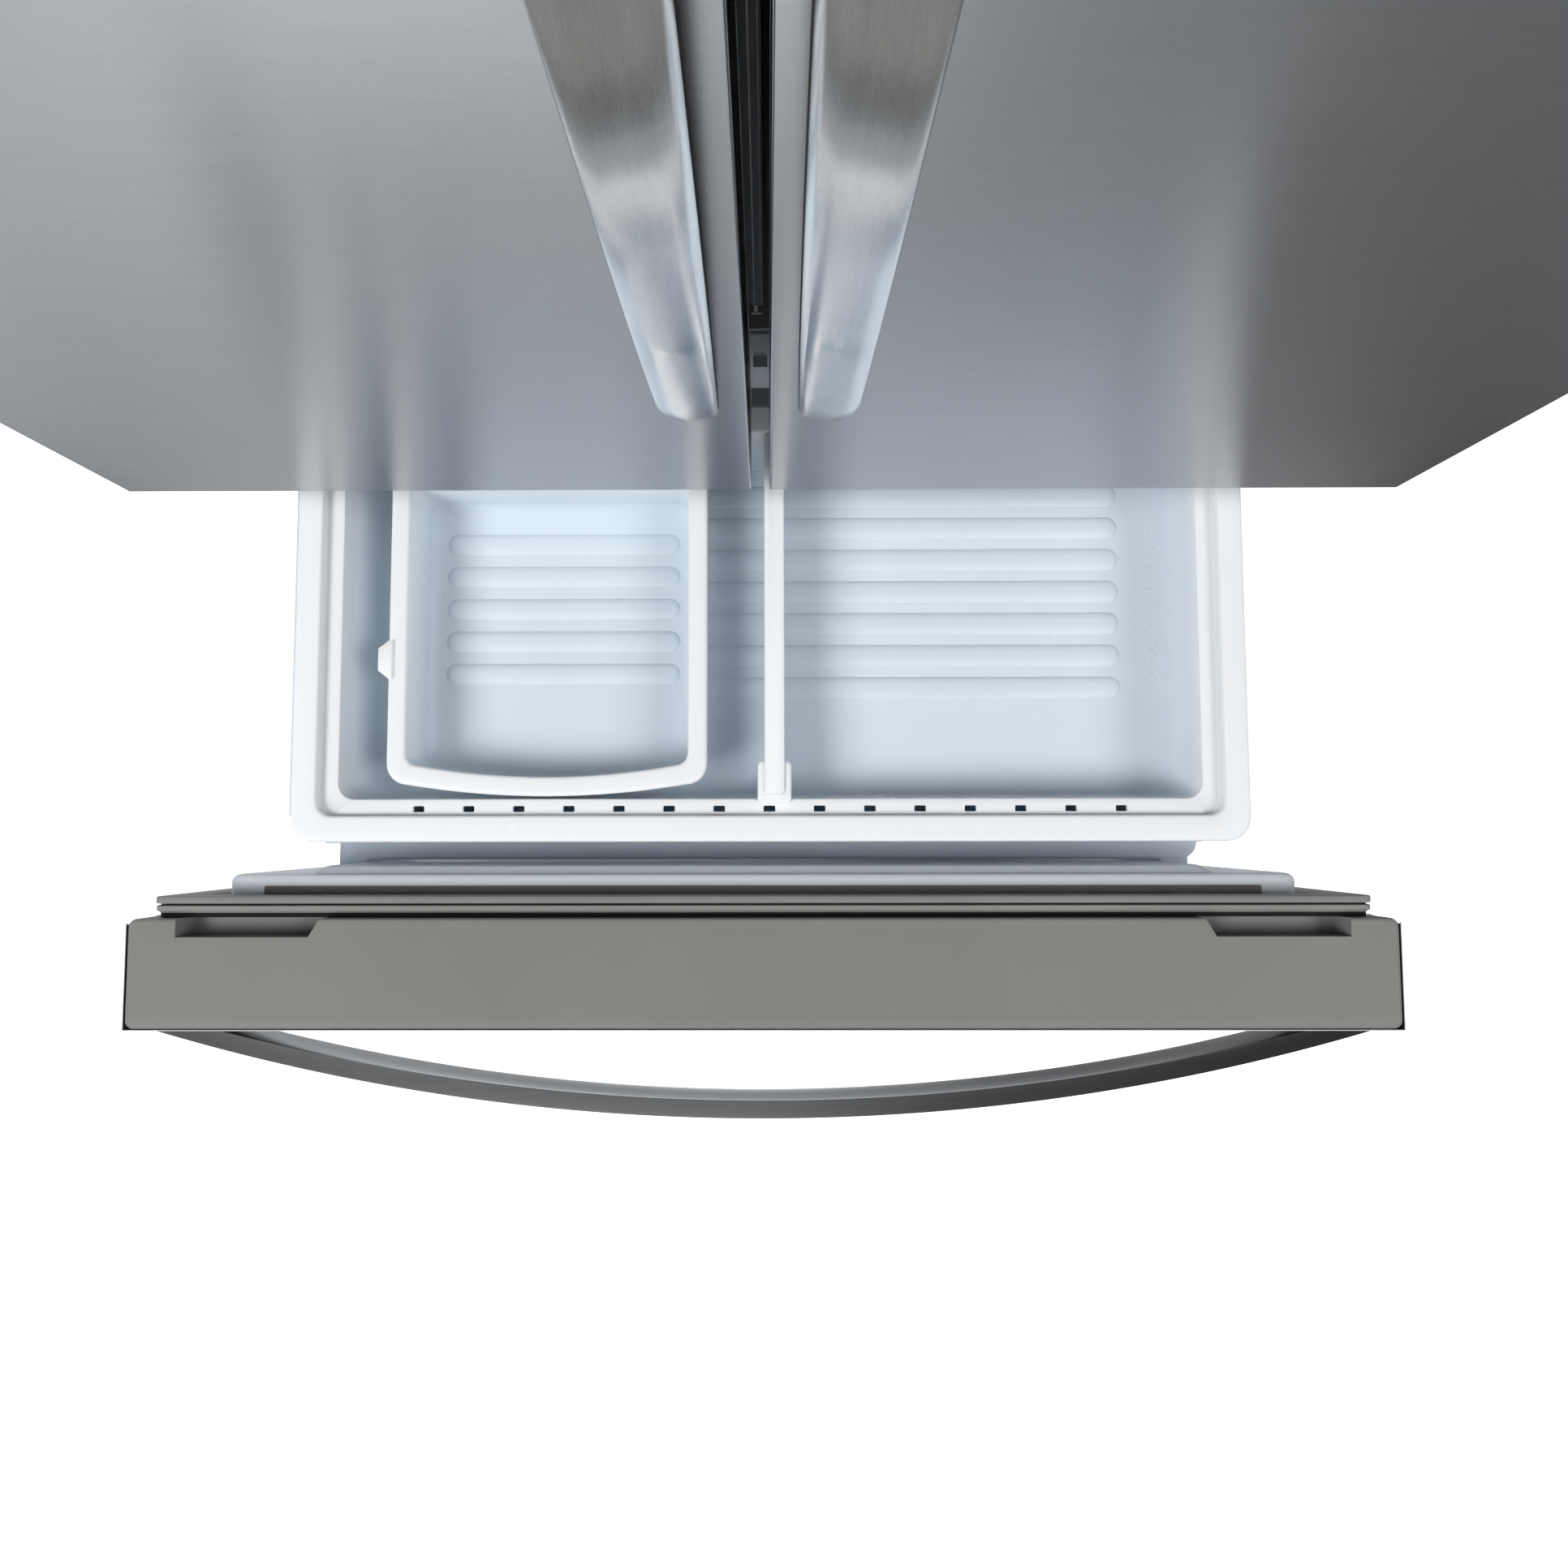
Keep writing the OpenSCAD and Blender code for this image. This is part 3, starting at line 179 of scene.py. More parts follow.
# moulded, painted and rubber finishes share one recipe
finishes = {
    "casingPaint": {"colour": (0.33, 0.335, 0.34), "rough": 0.42, "peel": 900, "relief": 0.25, "mottle": 0.08},
    "backPaint": {"colour": (0.52, 0.54, 0.55), "rough": 0.4, "peel": 300, "relief": 0.05, "mottle": 0.1},
    "foam": {"colour": (0.82, 0.72, 0.45), "rough": 0.9, "peel": 420, "relief": 0.6, "mottle": 0.25},
    "linerWhite": {"colour": (0.86, 0.88, 0.89), "rough": 0.28, "peel": 160, "relief": 0.03, "mottle": 0.03,
                   "soft": 0.05, "scuff": 0.03},
    "doorLiner": {"colour": (0.85, 0.87, 0.88), "rough": 0.3, "peel": 180, "relief": 0.04, "mottle": 0.03,
                  "soft": 0.05, "scuff": 0.03},
    "drawerLiner": {"colour": (0.8, 0.85, 0.91), "rough": 0.3, "peel": 180, "relief": 0.05, "mottle": 0.06,
                    "soft": 0.05, "scuff": 0.03},
    "darkPlastic": {"colour": (0.035, 0.034, 0.034), "rough": 0.45, "peel": 700, "relief": 0.18, "mottle": 0.3},
    "grille": {"colour": (0.07, 0.07, 0.075), "rough": 0.55, "peel": 800, "relief": 0.25, "mottle": 0.25},
    "baseSteel": {"colour": (0.2, 0.21, 0.22), "rough": 0.45, "peel": 240, "relief": 0.05, "mottle": 0.2,
                  "metal": 0.8},
    "blackEnamel": {"colour": (0.015, 0.015, 0.017), "rough": 0.25, "peel": 260, "relief": 0.12, "mottle": 0.3},
    "aluminium": {"colour": (0.74, 0.75, 0.77), "rough": 0.3, "peel": 500, "relief": 0.05, "mottle": 0.1,
                  "metal": 1.0},
    "trackPaint": {"colour": (0.74, 0.76, 0.77), "rough": 0.35, "peel": 300, "relief": 0.05, "mottle": 0.06},
    "shelfPlastic": {"colour": (0.72, 0.76, 0.79), "rough": 0.3, "peel": 240, "relief": 0.04, "mottle": 0.05,
                     "soft": 0.08},
    "hingeSteel": {"colour": (0.09, 0.092, 0.095), "rough": 0.4, "peel": 400, "relief": 0.08, "mottle": 0.3,
                   "metal": 0.7},
    "zinc": {"colour": (0.68, 0.69, 0.66), "rough": 0.32, "peel": 350, "relief": 0.06, "mottle": 0.25,
             "metal": 1.0},
    "rubberBlack": {"colour": (0.018, 0.018, 0.018), "rough": 0.65, "peel": 900, "relief": 0.2, "mottle": 0.3},
    "rollerNylon": {"colour": (0.7, 0.7, 0.66), "rough": 0.5, "peel": 300, "relief": 0.1, "mottle": 0.12,
                    "soft": 0.1},
    "legPlastic": {"colour": (0.04, 0.04, 0.043), "rough": 0.5, "peel": 500, "relief": 0.15, "mottle": 0.3},
    "fanPlastic": {"colour": (0.25, 0.26, 0.27), "rough": 0.4, "peel": 300, "relief": 0.06, "mottle": 0.1},
    "buttonPlastic": {"colour": (0.5, 0.52, 0.55), "rough": 0.3, "peel": 300, "relief": 0.05, "mottle": 0.08},
    "crisperClear": {"colour": (0.72, 0.8, 0.84), "rough": 0.16, "peel": 120, "relief": 0.04, "mottle": 0.04,
                     "clear": 0.6},
    "binClear": {"colour": (0.8, 0.86, 0.9), "rough": 0.16, "peel": 120, "relief": 0.04, "mottle": 0.04,
                 "clear": 0.55},
    "doorGasket": {"colour": (0.045, 0.045, 0.048), "rough": 0.55, "peel": 600, "relief": 0.12, "mottle": 0.2},
    "drawerGasket": {"colour": (0.27, 0.265, 0.255), "rough": 0.5, "peel": 600, "relief": 0.12, "mottle": 0.25},
    "capGrey": {"colour": (0.235, 0.232, 0.222), "rough": 0.42, "peel": 520, "relief": 0.16, "mottle": 0.1},
    # the next finish is a painted highlight for the top edge of the drawer's stainless skin
    "skinEdgeHighlight": {"colour": (0.8, 0.81, 0.82), "rough": 0.45, "peel": 500, "relief": 0.03, "mottle": 0.05,
                   "metal": 0.3},
    "insetBrown": {"colour": (0.2, 0.188, 0.172), "rough": 0.38, "peel": 500, "relief": 0.08, "mottle": 0.2},
    # the next finish is near-black painted shade for the drawer gasket's grooves
    "grooveShade": {"colour": (0.012, 0.012, 0.013), "rough": 0.6, "peel": 600, "relief": 0.1, "mottle": 0.2},
    # the next finish is near-black painted shade for the handles' back faces
    "handleBackShade": {"colour": (0.018, 0.018, 0.02), "rough": 0.55, "peel": 500, "relief": 0.1, "mottle": 0.2},
    "mullion": {"colour": (0.06, 0.062, 0.068), "rough": 0.38, "peel": 500, "relief": 0.1, "mottle": 0.2},
    # basketWhite: its deep colour is painted shade, multiplied in towards the basket floor
    "basketWhite": {"colour": (0.93, 0.95, 0.97), "rough": 0.27, "peel": 240, "relief": 0.03, "mottle": 0.02,
                    "soft": 0.12, "scuff": 0.03, "deep": (0.76, 0.83, 0.89)},
    # lowerBasket: the white basket plastic given a darker blue-grey tone, painted shade for the basket lying
    # under the upper one
    "lowerBasket": {"colour": (0.74, 0.82, 0.91), "rough": 0.3, "peel": 240, "relief": 0.03, "mottle": 0.03,
                    "soft": 0.1, "scuff": 0.03},
    # looseBin: its deep colour is the same painted shade towards the floor
    "looseBin": {"colour": (0.93, 0.95, 0.97), "rough": 0.22, "peel": 240, "relief": 0.03, "mottle": 0.02,
                 "soft": 0.12, "scuff": 0.03, "deep": (0.76, 0.83, 0.89)},
    # framePaint: pale paint given the lower basket's blue-grey tone, partly painted shade
    "framePaint": {"colour": (0.7, 0.78, 0.86), "rough": 0.35, "peel": 300, "relief": 0.05, "mottle": 0.06},
    "railPaint": {"colour": (0.55, 0.57, 0.59), "rough": 0.4, "peel": 400, "relief": 0.08, "mottle": 0.08},
}
mould = {"cloud": 9.0, "scuff": 55.0, "edgeShare": 0.25, "edgeTone": 1.35, "deepOver": 0.05, "roughCloud": 0.05,
         "scuffRough": 0.08, "roughMiddle": 0.04, "peelDepth": 0.0003, "softRadius": (0.01, 0.012, 0.014),
         "softScale": 0.3}


def moulded(name):
    finish = finishes[name]
    s = Shader(name)
    cloud = s.noise((1, 1, 1), mould["cloud"], 4.0)
    peel = s.noise((1, 1, 1), finish["peel"], 2.0)
    scuff = s.ramp(s.noise((1, 1, 1), mould["scuff"], 6.0, 0.7), [(0.55, 0.0), (0.78, 1.0)])
    # painted highlight: colour lightened along sharp convex edges, where light catches them
    edge = s.ramp(s.add("ShaderNodeNewGeometry")["Pointiness"], [(0.5, 0.0), (0.62, 1.0)])
    low = tint(finish["colour"], 1 - finish["mottle"])
    colour = s.blend(cloud, low, tint(finish["colour"], 1 + finish["mottle"] * 0.5))
    colour = s.blend(edge * mould["edgeShare"], colour, tint(finish["colour"], mould["edgeTone"]))
    if "deep" in finish:                        # painted shade: white plastic tinted bluer and darker towards a basket's floor
        height = s.add("ShaderNodeSeparateXYZ", None, {0: s.add("ShaderNodeTexCoord")["Object"]})["Z"]
        floorShade = s.ramp((basketTop - height) * (1 / mould["deepOver"]), [(0.06, 0.0), (0.95, 1.0)])
        colour = s.blend(floorShade, colour, s.blend(1.0, colour, tint(finish["deep"]), "MULTIPLY"))
    rough = cloud * mould["roughCloud"] + scuff * finish.get("scuff", mould["scuffRough"])
    rough = rough + (finish["rough"] - mould["roughMiddle"])
    relief = s.bump(peel, finish["relief"], mould["peelDepth"])
    return s.finish({
        "Base Color": colour, "Roughness": rough, "Normal": relief,
        "Metallic": finish.get("metal", 0.0),
        "Subsurface Weight": finish.get("soft", 0.0), "Subsurface Radius": mould["softRadius"],
        "Subsurface Scale": mould["softScale"], "Transmission Weight": finish.get("clear", 0.0)})


shelfGlass = {"colour": (0.86, 0.94, 0.93), "rough": 0.03, "clear": 0.9}


def glass(name):
    s = Shader(name)
    smear = s.noise((1, 1, 1), 18.0, 5.0)
    rough = s.ramp(smear, [(0.45, 0.0), (0.8, 1.0)]) * 0.12 + shelfGlass["rough"]
    colour = s.blend(smear, tint(shelfGlass["colour"], 0.95), tint(shelfGlass["colour"], 1.03))
    return s.finish({"Base Color": colour, "Roughness": rough, "Normal": s.bump(smear, 0.02, 0.0005),
                     "Transmission Weight": shelfGlass["clear"], "IOR": 1.5})


paint = {name: moulded(name) for name in finishes}
paint["skinAcross"] = brushedMetal("stainlessAcross", brushed["skin"], 0)
paint["handleUp"] = brushedMetal("stainlessUp", brushed["handle"], 2)
paint["handleAcross"] = brushedMetal("stainlessBar", brushed["bar"], 0)
paint["plated"] = brushedMetal("platedSteel", brushed["plated"], 1)
paint["glass"] = glass("shelfGlass")
print("finishes made:", len(paint))

# finish of each CAD node that stays in view
worn = {
    "casingPaint": ["cabinet_panels"], "backPaint": ["back_cover"],
    "foam": ["insulation_foam", "left_door_foam", "right_door_foam", "drawer_foam"],
    "linerWhite": ["fresh_food_liner", "freezer_liner", "evaporator_cover", "air_duct", "control_panel"],
    "doorLiner": ["left_door_liner", "right_door_liner"], "darkPlastic": ["fan_shroud"],
    "grille": ["toe_grille"], "baseSteel": ["base_frame"], "blackEnamel": ["compressor", "condenser"],
    "aluminium": ["evaporator"], "trackPaint": ["shelf_tracks"], "shelfPlastic": ["shelf_frames"],
    "glass": ["shelf_glasses"], "hingeSteel": ["door_hinges"], "zinc": ["hinge_screws"],
    "plated": ["fixed_rails", "middle_rails"], "framePaint": ["drawer_frame"],
    "railPaint": ["centre_rail"], "rubberBlack": ["cord_gland"],
    "rollerNylon": ["front_rollers", "rear_rollers"],
    "legPlastic": ["levelling_leg_left", "levelling_leg_right"],
    "fanPlastic": ["condenser_fan", "evaporator_fan"], "buttonPlastic": ["button_colder", "button_warmer"],
    "crisperClear": ["crisper_left", "crisper_right"], "capGrey": ["left_door_caps", "right_door_caps"],
    "binClear": ["left_door_bins", "right_door_bins"], "mullion": ["mullion_bar"],
}
for finishName, nodeNames in worn.items():
    for nodeName in nodeNames:
        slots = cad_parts[nodeName].data.materials
        slots.clear()
        slots.append(paint[finishName])


# rings of points, lofted into closed skins; sizes in these helpers are millimetres
def boxOf(node):
    low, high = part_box(node)
    return low / mm, high / mm


def ring(x0, x1, y0, y1, radius, level, lying=False, bow=0.0, steps=7):
    radius = max(0.3, min(radius, (x1 - x0) / 2 - 0.1, (y1 - y0) / 2 - 0.1))
    points = []
    corners = [(x1 - radius, y0 + radius, -90), (x1 - radius, y1 - radius, 0),
               (x0 + radius, y1 - radius, 90), (x0 + radius, y0 + radius, 180)]
    for cx, cy, start in corners:
        for step in range(steps):
            angle = math.radians(start + 90 * step / (steps - 1))
            points.append((cx + radius * math.cos(angle), cy + radius * math.sin(angle)))
    if bow:
        middle, half = (x0 + x1) / 2, (x1 - x0) / 2 - radius
        front = [(middle - half + 2 * half * i / 16, y0) for i in range(1, 16)]
        points = points + front
        points = [(x, y - bow * max(0.0, 1 - ((x - middle) / half) ** 2)) if y < y0 + radius else (x, y)
                  for x, y in points]
    if lying:                                   # a ring that faces front: y becomes height
        return [Vector((x, level, y)) * mm for x, y in points]
    return [Vector((x, y, level)) * mm for x, y in points]


def loft(name, rings, closed=False, sharp=40.0, ends=True):
    mesh = bpy.data.meshes.new(name)
    bm = bmesh.new()
    rows = [[bm.verts.new(point) for point in points] for points in rings]
    count = len(rows[0])
    pairs = list(zip(rows, rows[1:])) + ([(rows[-1], rows[0])] if closed else [])
    for low, high in pairs:
        for i in range(count):
            j = (i + 1) % count
            bm.faces.new((low[i], low[j], high[j], high[i]))
    if ends and not closed:
        bm.faces.new(list(reversed(rows[0])))
        bm.faces.new(rows[-1])
    bmesh.ops.recalc_face_normals(bm, faces=bm.faces)
    bm.to_mesh(mesh)
    bm.free()
    return placeMesh(name, mesh, sharp)


def placeMesh(name, mesh, sharp=40.0):
    for face in mesh.polygons:
        face.use_smooth = True
    mesh.set_sharp_from_angle(angle=math.radians(sharp))
    thing = bpy.data.objects.new(name, mesh)
    bpy.context.scene.collection.objects.link(thing)
    return thing


def block(name, low, high, bevel=1.0, steps=3):
    mesh = bpy.data.meshes.new(name)
    bm = bmesh.new()
    bmesh.ops.create_cube(bm, size=1.0)
    for vert in bm.verts:
        vert.co = Vector(((low[k] + high[k]) / 2 + vert.co[k] * (high[k] - low[k]) for k in range(3))) * mm
    bmesh.ops.bevel(bm, geom=bm.edges[:], offset=bevel * mm, segments=steps, profile=0.5, affect="EDGES")
    bm.to_mesh(mesh)
    bm.free()
    return placeMesh(name, mesh)


def joined(name, things):
    mesh = bpy.data.meshes.new(name)
    bm = bmesh.new()
    for thing in things:
        bm.from_mesh(thing.data)
        bpy.data.objects.remove(thing)
    bm.to_mesh(mesh)
    bm.free()
    return placeMesh(name, mesh)


def cutFrom(thing, cutter):
    trim = thing.modifiers.new("cut", "BOOLEAN")
    trim.operation, trim.solver, trim.object = "DIFFERENCE", "EXACT", cutter
    bpy.context.view_layer.update()
    made = bpy.data.meshes.new_from_object(thing.evaluated_get(bpy.context.evaluated_depsgraph_get()))
    thing.modifiers.clear()
    thing.data = made
    bpy.data.objects.remove(cutter)
    made.set_sharp_from_angle(angle=math.radians(40))
    return thing


def fitOn(thing, body, finishName, slotName, *nodes, shadeFinish=None):
    thing.data.materials.clear()
    thing.data.materials.append(paint[finishName])
    for face in thing.data.polygons:
        face.material_index = 0
    if shadeFinish:                                 # painted shade: faces turned towards the door or the gap take a near-black finish
        thing.data.materials.append(paint[shadeFinish])
        for face in thing.data.polygons:
            inward = -face.normal.x if face.center.x > 0 else face.normal.x
            face.material_index = 1 if face.normal.y > 0.8 or inward > 0.93 else 0
    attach(thing, body)
    if nodes:
        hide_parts(*nodes)
    return thing


# folded stainless fronts
skin = {"sheet": 0.8, "corner": 1.6, "lip": 1.2, "hem": 9.0}


def foldedSkin(name, node):
    low, high = boxOf(node)

    def outline(inset, back):
        x0, x1, y0 = low.x + inset, high.x - inset, low.y + inset
        r = skin["corner"] - inset
        points = [(x0, back), (x0, back - skin["hem"])]
        arc = [math.pi / 2 * k / 8 for k in range(9)]
        points += [(x0 + r - r * math.cos(a), y0 + r - r * math.sin(a)) for a in arc]
        points += [(x0 + (x1 - x0) * k / 12, y0) for k in range(1, 12)]
        points += [(x1 - r + r * math.sin(a), y0 + r - r * math.cos(a)) for a in arc]
        return points + [(x1, back - skin["hem"]), (x1, back)]

    outer, inner = outline(0.0, high.y), outline(skin["sheet"], high.y)
    rows = [(low.z, 0.25), (low.z + 0.3, 0.05), (low.z + skin["lip"], 0.0)]
    rows += [(low.z + (high.z - low.z) * k / 10, 0.0) for k in range(1, 10)]
    rows += [(high.z - skin["lip"], 0.0), (high.z - 0.3, 0.05), (high.z, 0.25)]
    rings = []
    for level, draw in rows:
        front = [(x, y + (draw if y < low.y + 1 else 0)) for x, y in outer]
        rings.append([Vector((x, y, level)) * mm for x, y in front + inner[::-1]])
    return loft(name, rings)


for side in ("left", "right"):
    fitOn(foldedSkin(side + "DoorFront", side + "_door_skin"), side + "_door", "skinAcross", "stainless_skin",
          side + "_door_skin")
fitOn(foldedSkin("drawerFront", "drawer_skin"), "drawer", "skinAcross", "stainless_skin", "drawer_skin")

# thin hem strips along the fronts' side edges
hem = {"wide": 1.6, "proud": 0.35, "back": 13.0}
for side, body, node in (("left", "left_door", "left_door_skin"), ("right", "right_door", "right_door_skin"),
                         ("drawer", "drawer", "drawer_skin")):
    low, high = boxOf(node)
    strips = []
    for x in (low.x, high.x):
        strips.append(block("strip", (x - hem["proud"], high.y - hem["back"], low.z + 0.5),
                            (x + hem["proud"], high.y - hem["back"] + hem["wide"], high.z - 0.5), 0.3, 2))
    fitOn(joined(side + "HemLines", strips), body, "skinAcross", "stainless_skin")
print("fronts folded")

# bowed bar handles
handle = {"width": 34.0, "thick": 14.0, "foot": 4.0, "bevel": 4.5, "turn": 2.2, "corner": 7.0, "lean": 8.0,
          "stations": 96, "x": 40.0}


def bowedBar(name, half, reach, toPoint, bevelSide, taper=(8.0, 3.0), inside=2.2):
    sag = reach - handle["foot"]
    big = (half * half + sag * sag) / (2 * sag)
    w = handle["width"] / 2
    rings = []
    lefts = [-half + 0.02 + handle["corner"] * (1 - math.cos(math.pi / 2 * k / 6)) for k in range(6)]
    mids = [-half + handle["corner"] + (2 * half - 2 * handle["corner"]) * k / handle["stations"]
            for k in range(handle["stations"] + 1)]
    for s in lefts + mids + [-value for value in reversed(lefts)]:
        outer = big - reach - math.sqrt(max(0.0, big * big - s * s))
        thin = big - handle["thick"]
        inner = big - reach - math.sqrt(max(0.0, thin * thin - s * s)) if abs(s) < thin else 0.0
        inner = min(inner, -0.15)
        gone = max(0.0, abs(s) - (half - handle["corner"]))
        cornerIn = handle["corner"] - math.sqrt(max(0.0, handle["corner"] ** 2 - gone ** 2))
        u = w - cornerIn * 0.5
        tail = max(0.0, abs(s) - (half - taper[0])) / taper[0]
        v = w - taper[1] * (1 - math.sqrt(max(0.0, 1 - tail * tail)))
        depth = inner - outer
        r = min(handle["turn"], depth * 0.45)
        b = min(handle["bevel"], depth * 0.8)
        section = [(-v, inner - r), (-v, outer + r), (-v + r * 0.3, outer + r * 0.3), (-v + r, outer)]
        section += [(-v + r + (u - b + v - r) * k / 5, outer) for k in range(1, 5)]
        section += [(u - b, outer), (u - b * 0.55, outer + b * 0.14), (u - b * 0.2, outer + b * 0.45),
                    (u, outer + b)]
        q = min(inside, depth * 0.7, depth - b - 0.1)
        turns = [math.pi / 2 * k / 4 for k in range(5)]
        section += [(u - q + q * math.cos(a), inner - q + q * math.sin(a)) for a in turns]
        section += [(-v + r, inner), (-v + r * 0.3, inner - r * 0.3)]
        if bevelSide < 0:
            section = [(-a, y) for a, y in section]
        rings.append([toPoint(a, y, s) for a, y in section])
    return loft(name, rings, sharp=28.0)


def doorHandle(side):
    sign = -1 if side == "left" else 1
    low, high = boxOf(side + "_door_handle")
    skinLow, skinHigh = boxOf(side + "_door_skin")
    lean = math.radians(handle["lean"])
    middle = (low.z + high.z) / 2

    def toPoint(a, y, s):                       # a grows towards the gap
        x = handle["x"] - a * math.cos(lean) + y * math.sin(lean)
        yy = y * math.cos(lean) + a * math.sin(lean)
        return Vector((sign * x, skinLow.y + min(yy, -0.12), middle + s)) * mm

    reach = skinLow.y - low.y
    thing = bowedBar(side + "Handle", (high.z - low.z) / 2, reach, toPoint, 1, (46.0, 15.0))
    # the handle's back faces get the painted shade finish
    fitOn(thing, side + "_door", "handleUp", "handle_steel", side + "_door_handle", shadeFinish="handleBackShade")


doorHandle("left")
doorHandle("right")
low, high = boxOf("drawer_handle")
skinLow, skinHigh = boxOf("drawer_skin")


def barPoint(a, y, s, level=(low.z + high.z) / 2, face=skinLow.y):
    return Vector((s, face + min(y, -0.12), level + a)) * mm


fitOn(bowedBar("drawerHandle", (high.x - low.x) / 2, skinLow.y - low.y, barPoint, -1, inside=8.0), "drawer",
      "handleAcross", "handle_steel", "drawer_handle")
print("handles bowed")

# drawer front's top and bottom caps
cap = {"deep": 24.0, "inset": 0.85, "pocketIn": 314.0, "pocketOut": 418.0, "slant": 9.0,
       "pocketDepth": 13.0, "pocketFloor": 4.0}
capLow, capHigh = boxOf("drawer_caps")
skinLow, skinHigh = boxOf("drawer_skin")
x1, yFront, yBack, top = skinHigh.x - cap["inset"], skinLow.y + cap["inset"], capHigh.y, capHigh.z
body = [ring(-x1 + d, x1 - d, yFront + d, yBack - d * 0.4, 6.0, level)
        for d, level in ((0, top - cap["deep"] + 0.1), (0, top - 3.0), (0.4, top - 1.9), (1.2, top - 1.0),
                         (2.6, top - 0.4), (4.5, top - 0.1), (7.0, top))]
capBody = loft("cap", body)
for sign in (-1, 1):
    pocketIn, pocketOut, deepest = sign * cap["pocketIn"], sign * cap["pocketOut"], yBack - cap["pocketDepth"]
    points = [(pocketIn, yBack + 2), (pocketIn + sign * cap["slant"], deepest), (pocketOut, deepest),
              (pocketOut, yBack + 2)]
    rows = [[Vector((x, y, level)) * mm for x, y in points]
            for level in (top - cap["deep"] + cap["pocketFloor"], top + 6)]
    capBody = cutFrom(capBody, loft("cutter", rows))
rows = [ring(-x1 + d, x1 - d, yFront + d, yBack - d, 6.0, level)
        for d, level in ((3, capLow.z), (1, capLow.z + 0.6), (0, capLow.z + 3), (0, capLow.z + cap["deep"]))]
fitOn(joined("drawerCaps", [capBody, loft("cap", rows)]), "drawer", "capGrey", "cap_grey", "drawer_caps")

# folded edge of the drawer's skin round the cap, lighter than the stainless: a painted highlight along the edge
edge = {"wide": 0.7, "up": 0.3, "down": 1.0, "clear": 0.1, "start": 1.2, "back": 76.0}
near, far = edge["clear"], edge["clear"] + edge["wide"]
spans = [(skinLow.x + near, skinLow.x + far, skinLow.y + edge["start"], skinLow.y + edge["back"]),
         (skinHigh.x - far, skinHigh.x - near, skinLow.y + edge["start"], skinLow.y + edge["back"]),
         (skinLow.x + edge["start"], skinHigh.x - edge["start"], skinLow.y + near, skinLow.y + far)]
strips = [block("edge", (x0, y0, skinHigh.z - edge["down"]), (x1, y1, skinHigh.z + edge["up"]), 0.25)
          for x0, x1, y0, y1 in spans]
fitOn(joined("drawerSkinEdge", strips), "drawer", "skinEdgeHighlight", "stainless_skin")

# gaskets: lips, and a near-black ring of painted shade inside their grooves, run round a rounded rectangle
sealParts = {
    "lips": [(4, 0.2), (4, 2.2), (1.6, 4.2), (0.3, 5.2), (0.3, 8.3), (1.2, 8.8), (4, 9.0), (4, 10.0),
             (0.6, 10.1), (0, 10.6), (0, 14.5), (0.7, 15.2), (20.5, 15.2), (22, 14), (22, 10.4),
             (18.5, 8), (18.5, 0.2)],
    "core": [(2.6, 0.1), (2.6, 10.2), (17, 10.2), (17, 0.1)],
}


def gasket(name, node, corner, part):
    low, high = boxOf(node)
    deep = (high.y - low.y) / 15.2
    rings = []
    for inset, rise in sealParts[part]:
        rings.append(ring(low.x + inset, high.x - inset, low.z + inset, high.z - inset,
                          max(corner - inset * 0.6, 2), low.y + rise * deep, lying=True, steps=6))
    return loft(name, rings, closed=True, sharp=50.0)


for side in ("left", "right"):
    fitOn(gasket(side + "DoorSeal", side + "_door_gasket", 10.0, "lips"), side + "_door", "doorGasket",
          "door_gasket_dark", side + "_door_gasket")
fitOn(gasket("drawerSeal", "drawer_gasket", 8.0, "lips"), "drawer", "drawerGasket", "drawer_gasket_grey",
      "drawer_gasket")
# painted shade: a near-black ring filling the gasket's grooves
fitOn(gasket("drawerSealGrooveShade", "drawer_gasket", 8.0, "core"), "drawer", "grooveShade", "drawer_gasket_grey")

# drawer liner: flange, raised panel, sloped pad
panel = {"flange": 4.0, "panelX": 404.0, "panelLow": 160.0, "panelTop": 583.0, "padX": 345.0, "corner": 12.0}
low, high = boxOf("drawer_liner")
plateau = high.y - 6
rings = [ring(low.x, high.x, low.z, high.z if high.z < 592 else 591, 4, low.y, True),
         ring(low.x, high.x, low.z, high.z, 4, low.y + panel["flange"] - 1, True),
         ring(low.x + 1, high.x - 1, low.z + 1, high.z - 1, 4, low.y + panel["flange"], True)]
for grow, rise in ((5, 0), (2.2, 0.6), (0.8, 2.2), (0, 5), (0, 25), (-0.8, 27.6), (-2.6, 29.4), (-5, 30)):
    rings.append(ring(-panel["panelX"] - grow, panel["panelX"] + grow, panel["panelLow"] - grow,
                      panel["panelTop"] + min(grow, 4), panel["corner"], low.y + panel["flange"] + rise, True))
for inset, rise in ((0, 0), (0.8, 0.5), (6, 4.6), (7.4, 5.6), (9.5, 6)):
    rings.append(ring(-panel["padX"] + inset, panel["padX"] - inset, panel["panelLow"] + 14 + inset,
                      panel["panelTop"] - 6 - inset, 10, plateau + rise, True))
fitOn(loft("drawerInner", rings), "drawer", "drawerLiner", "drawer_liner_blue_white", "drawer_liner")
# a thin dark brown-grey strip laid along the top of the liner panel, in front of the gasket
inset = {"half": 374.0, "front": 5.5, "back": 21.5, "proud": 0.35}
rows = [ring(-inset["half"] + d, inset["half"] - d, low.y + panel["flange"] + inset["front"],
             low.y + panel["flange"] + inset["back"] - d, 1.5, panel["panelTop"] + rise, steps=4)
        for d, rise in ((0, -1.0), (0, inset["proud"] - 0.2), (0.5, inset["proud"]))]
fitOn(loft("drawerInnerInset", rows), "drawer", "insetBrown", "drawer_liner_blue_white")
print("drawer front finished")


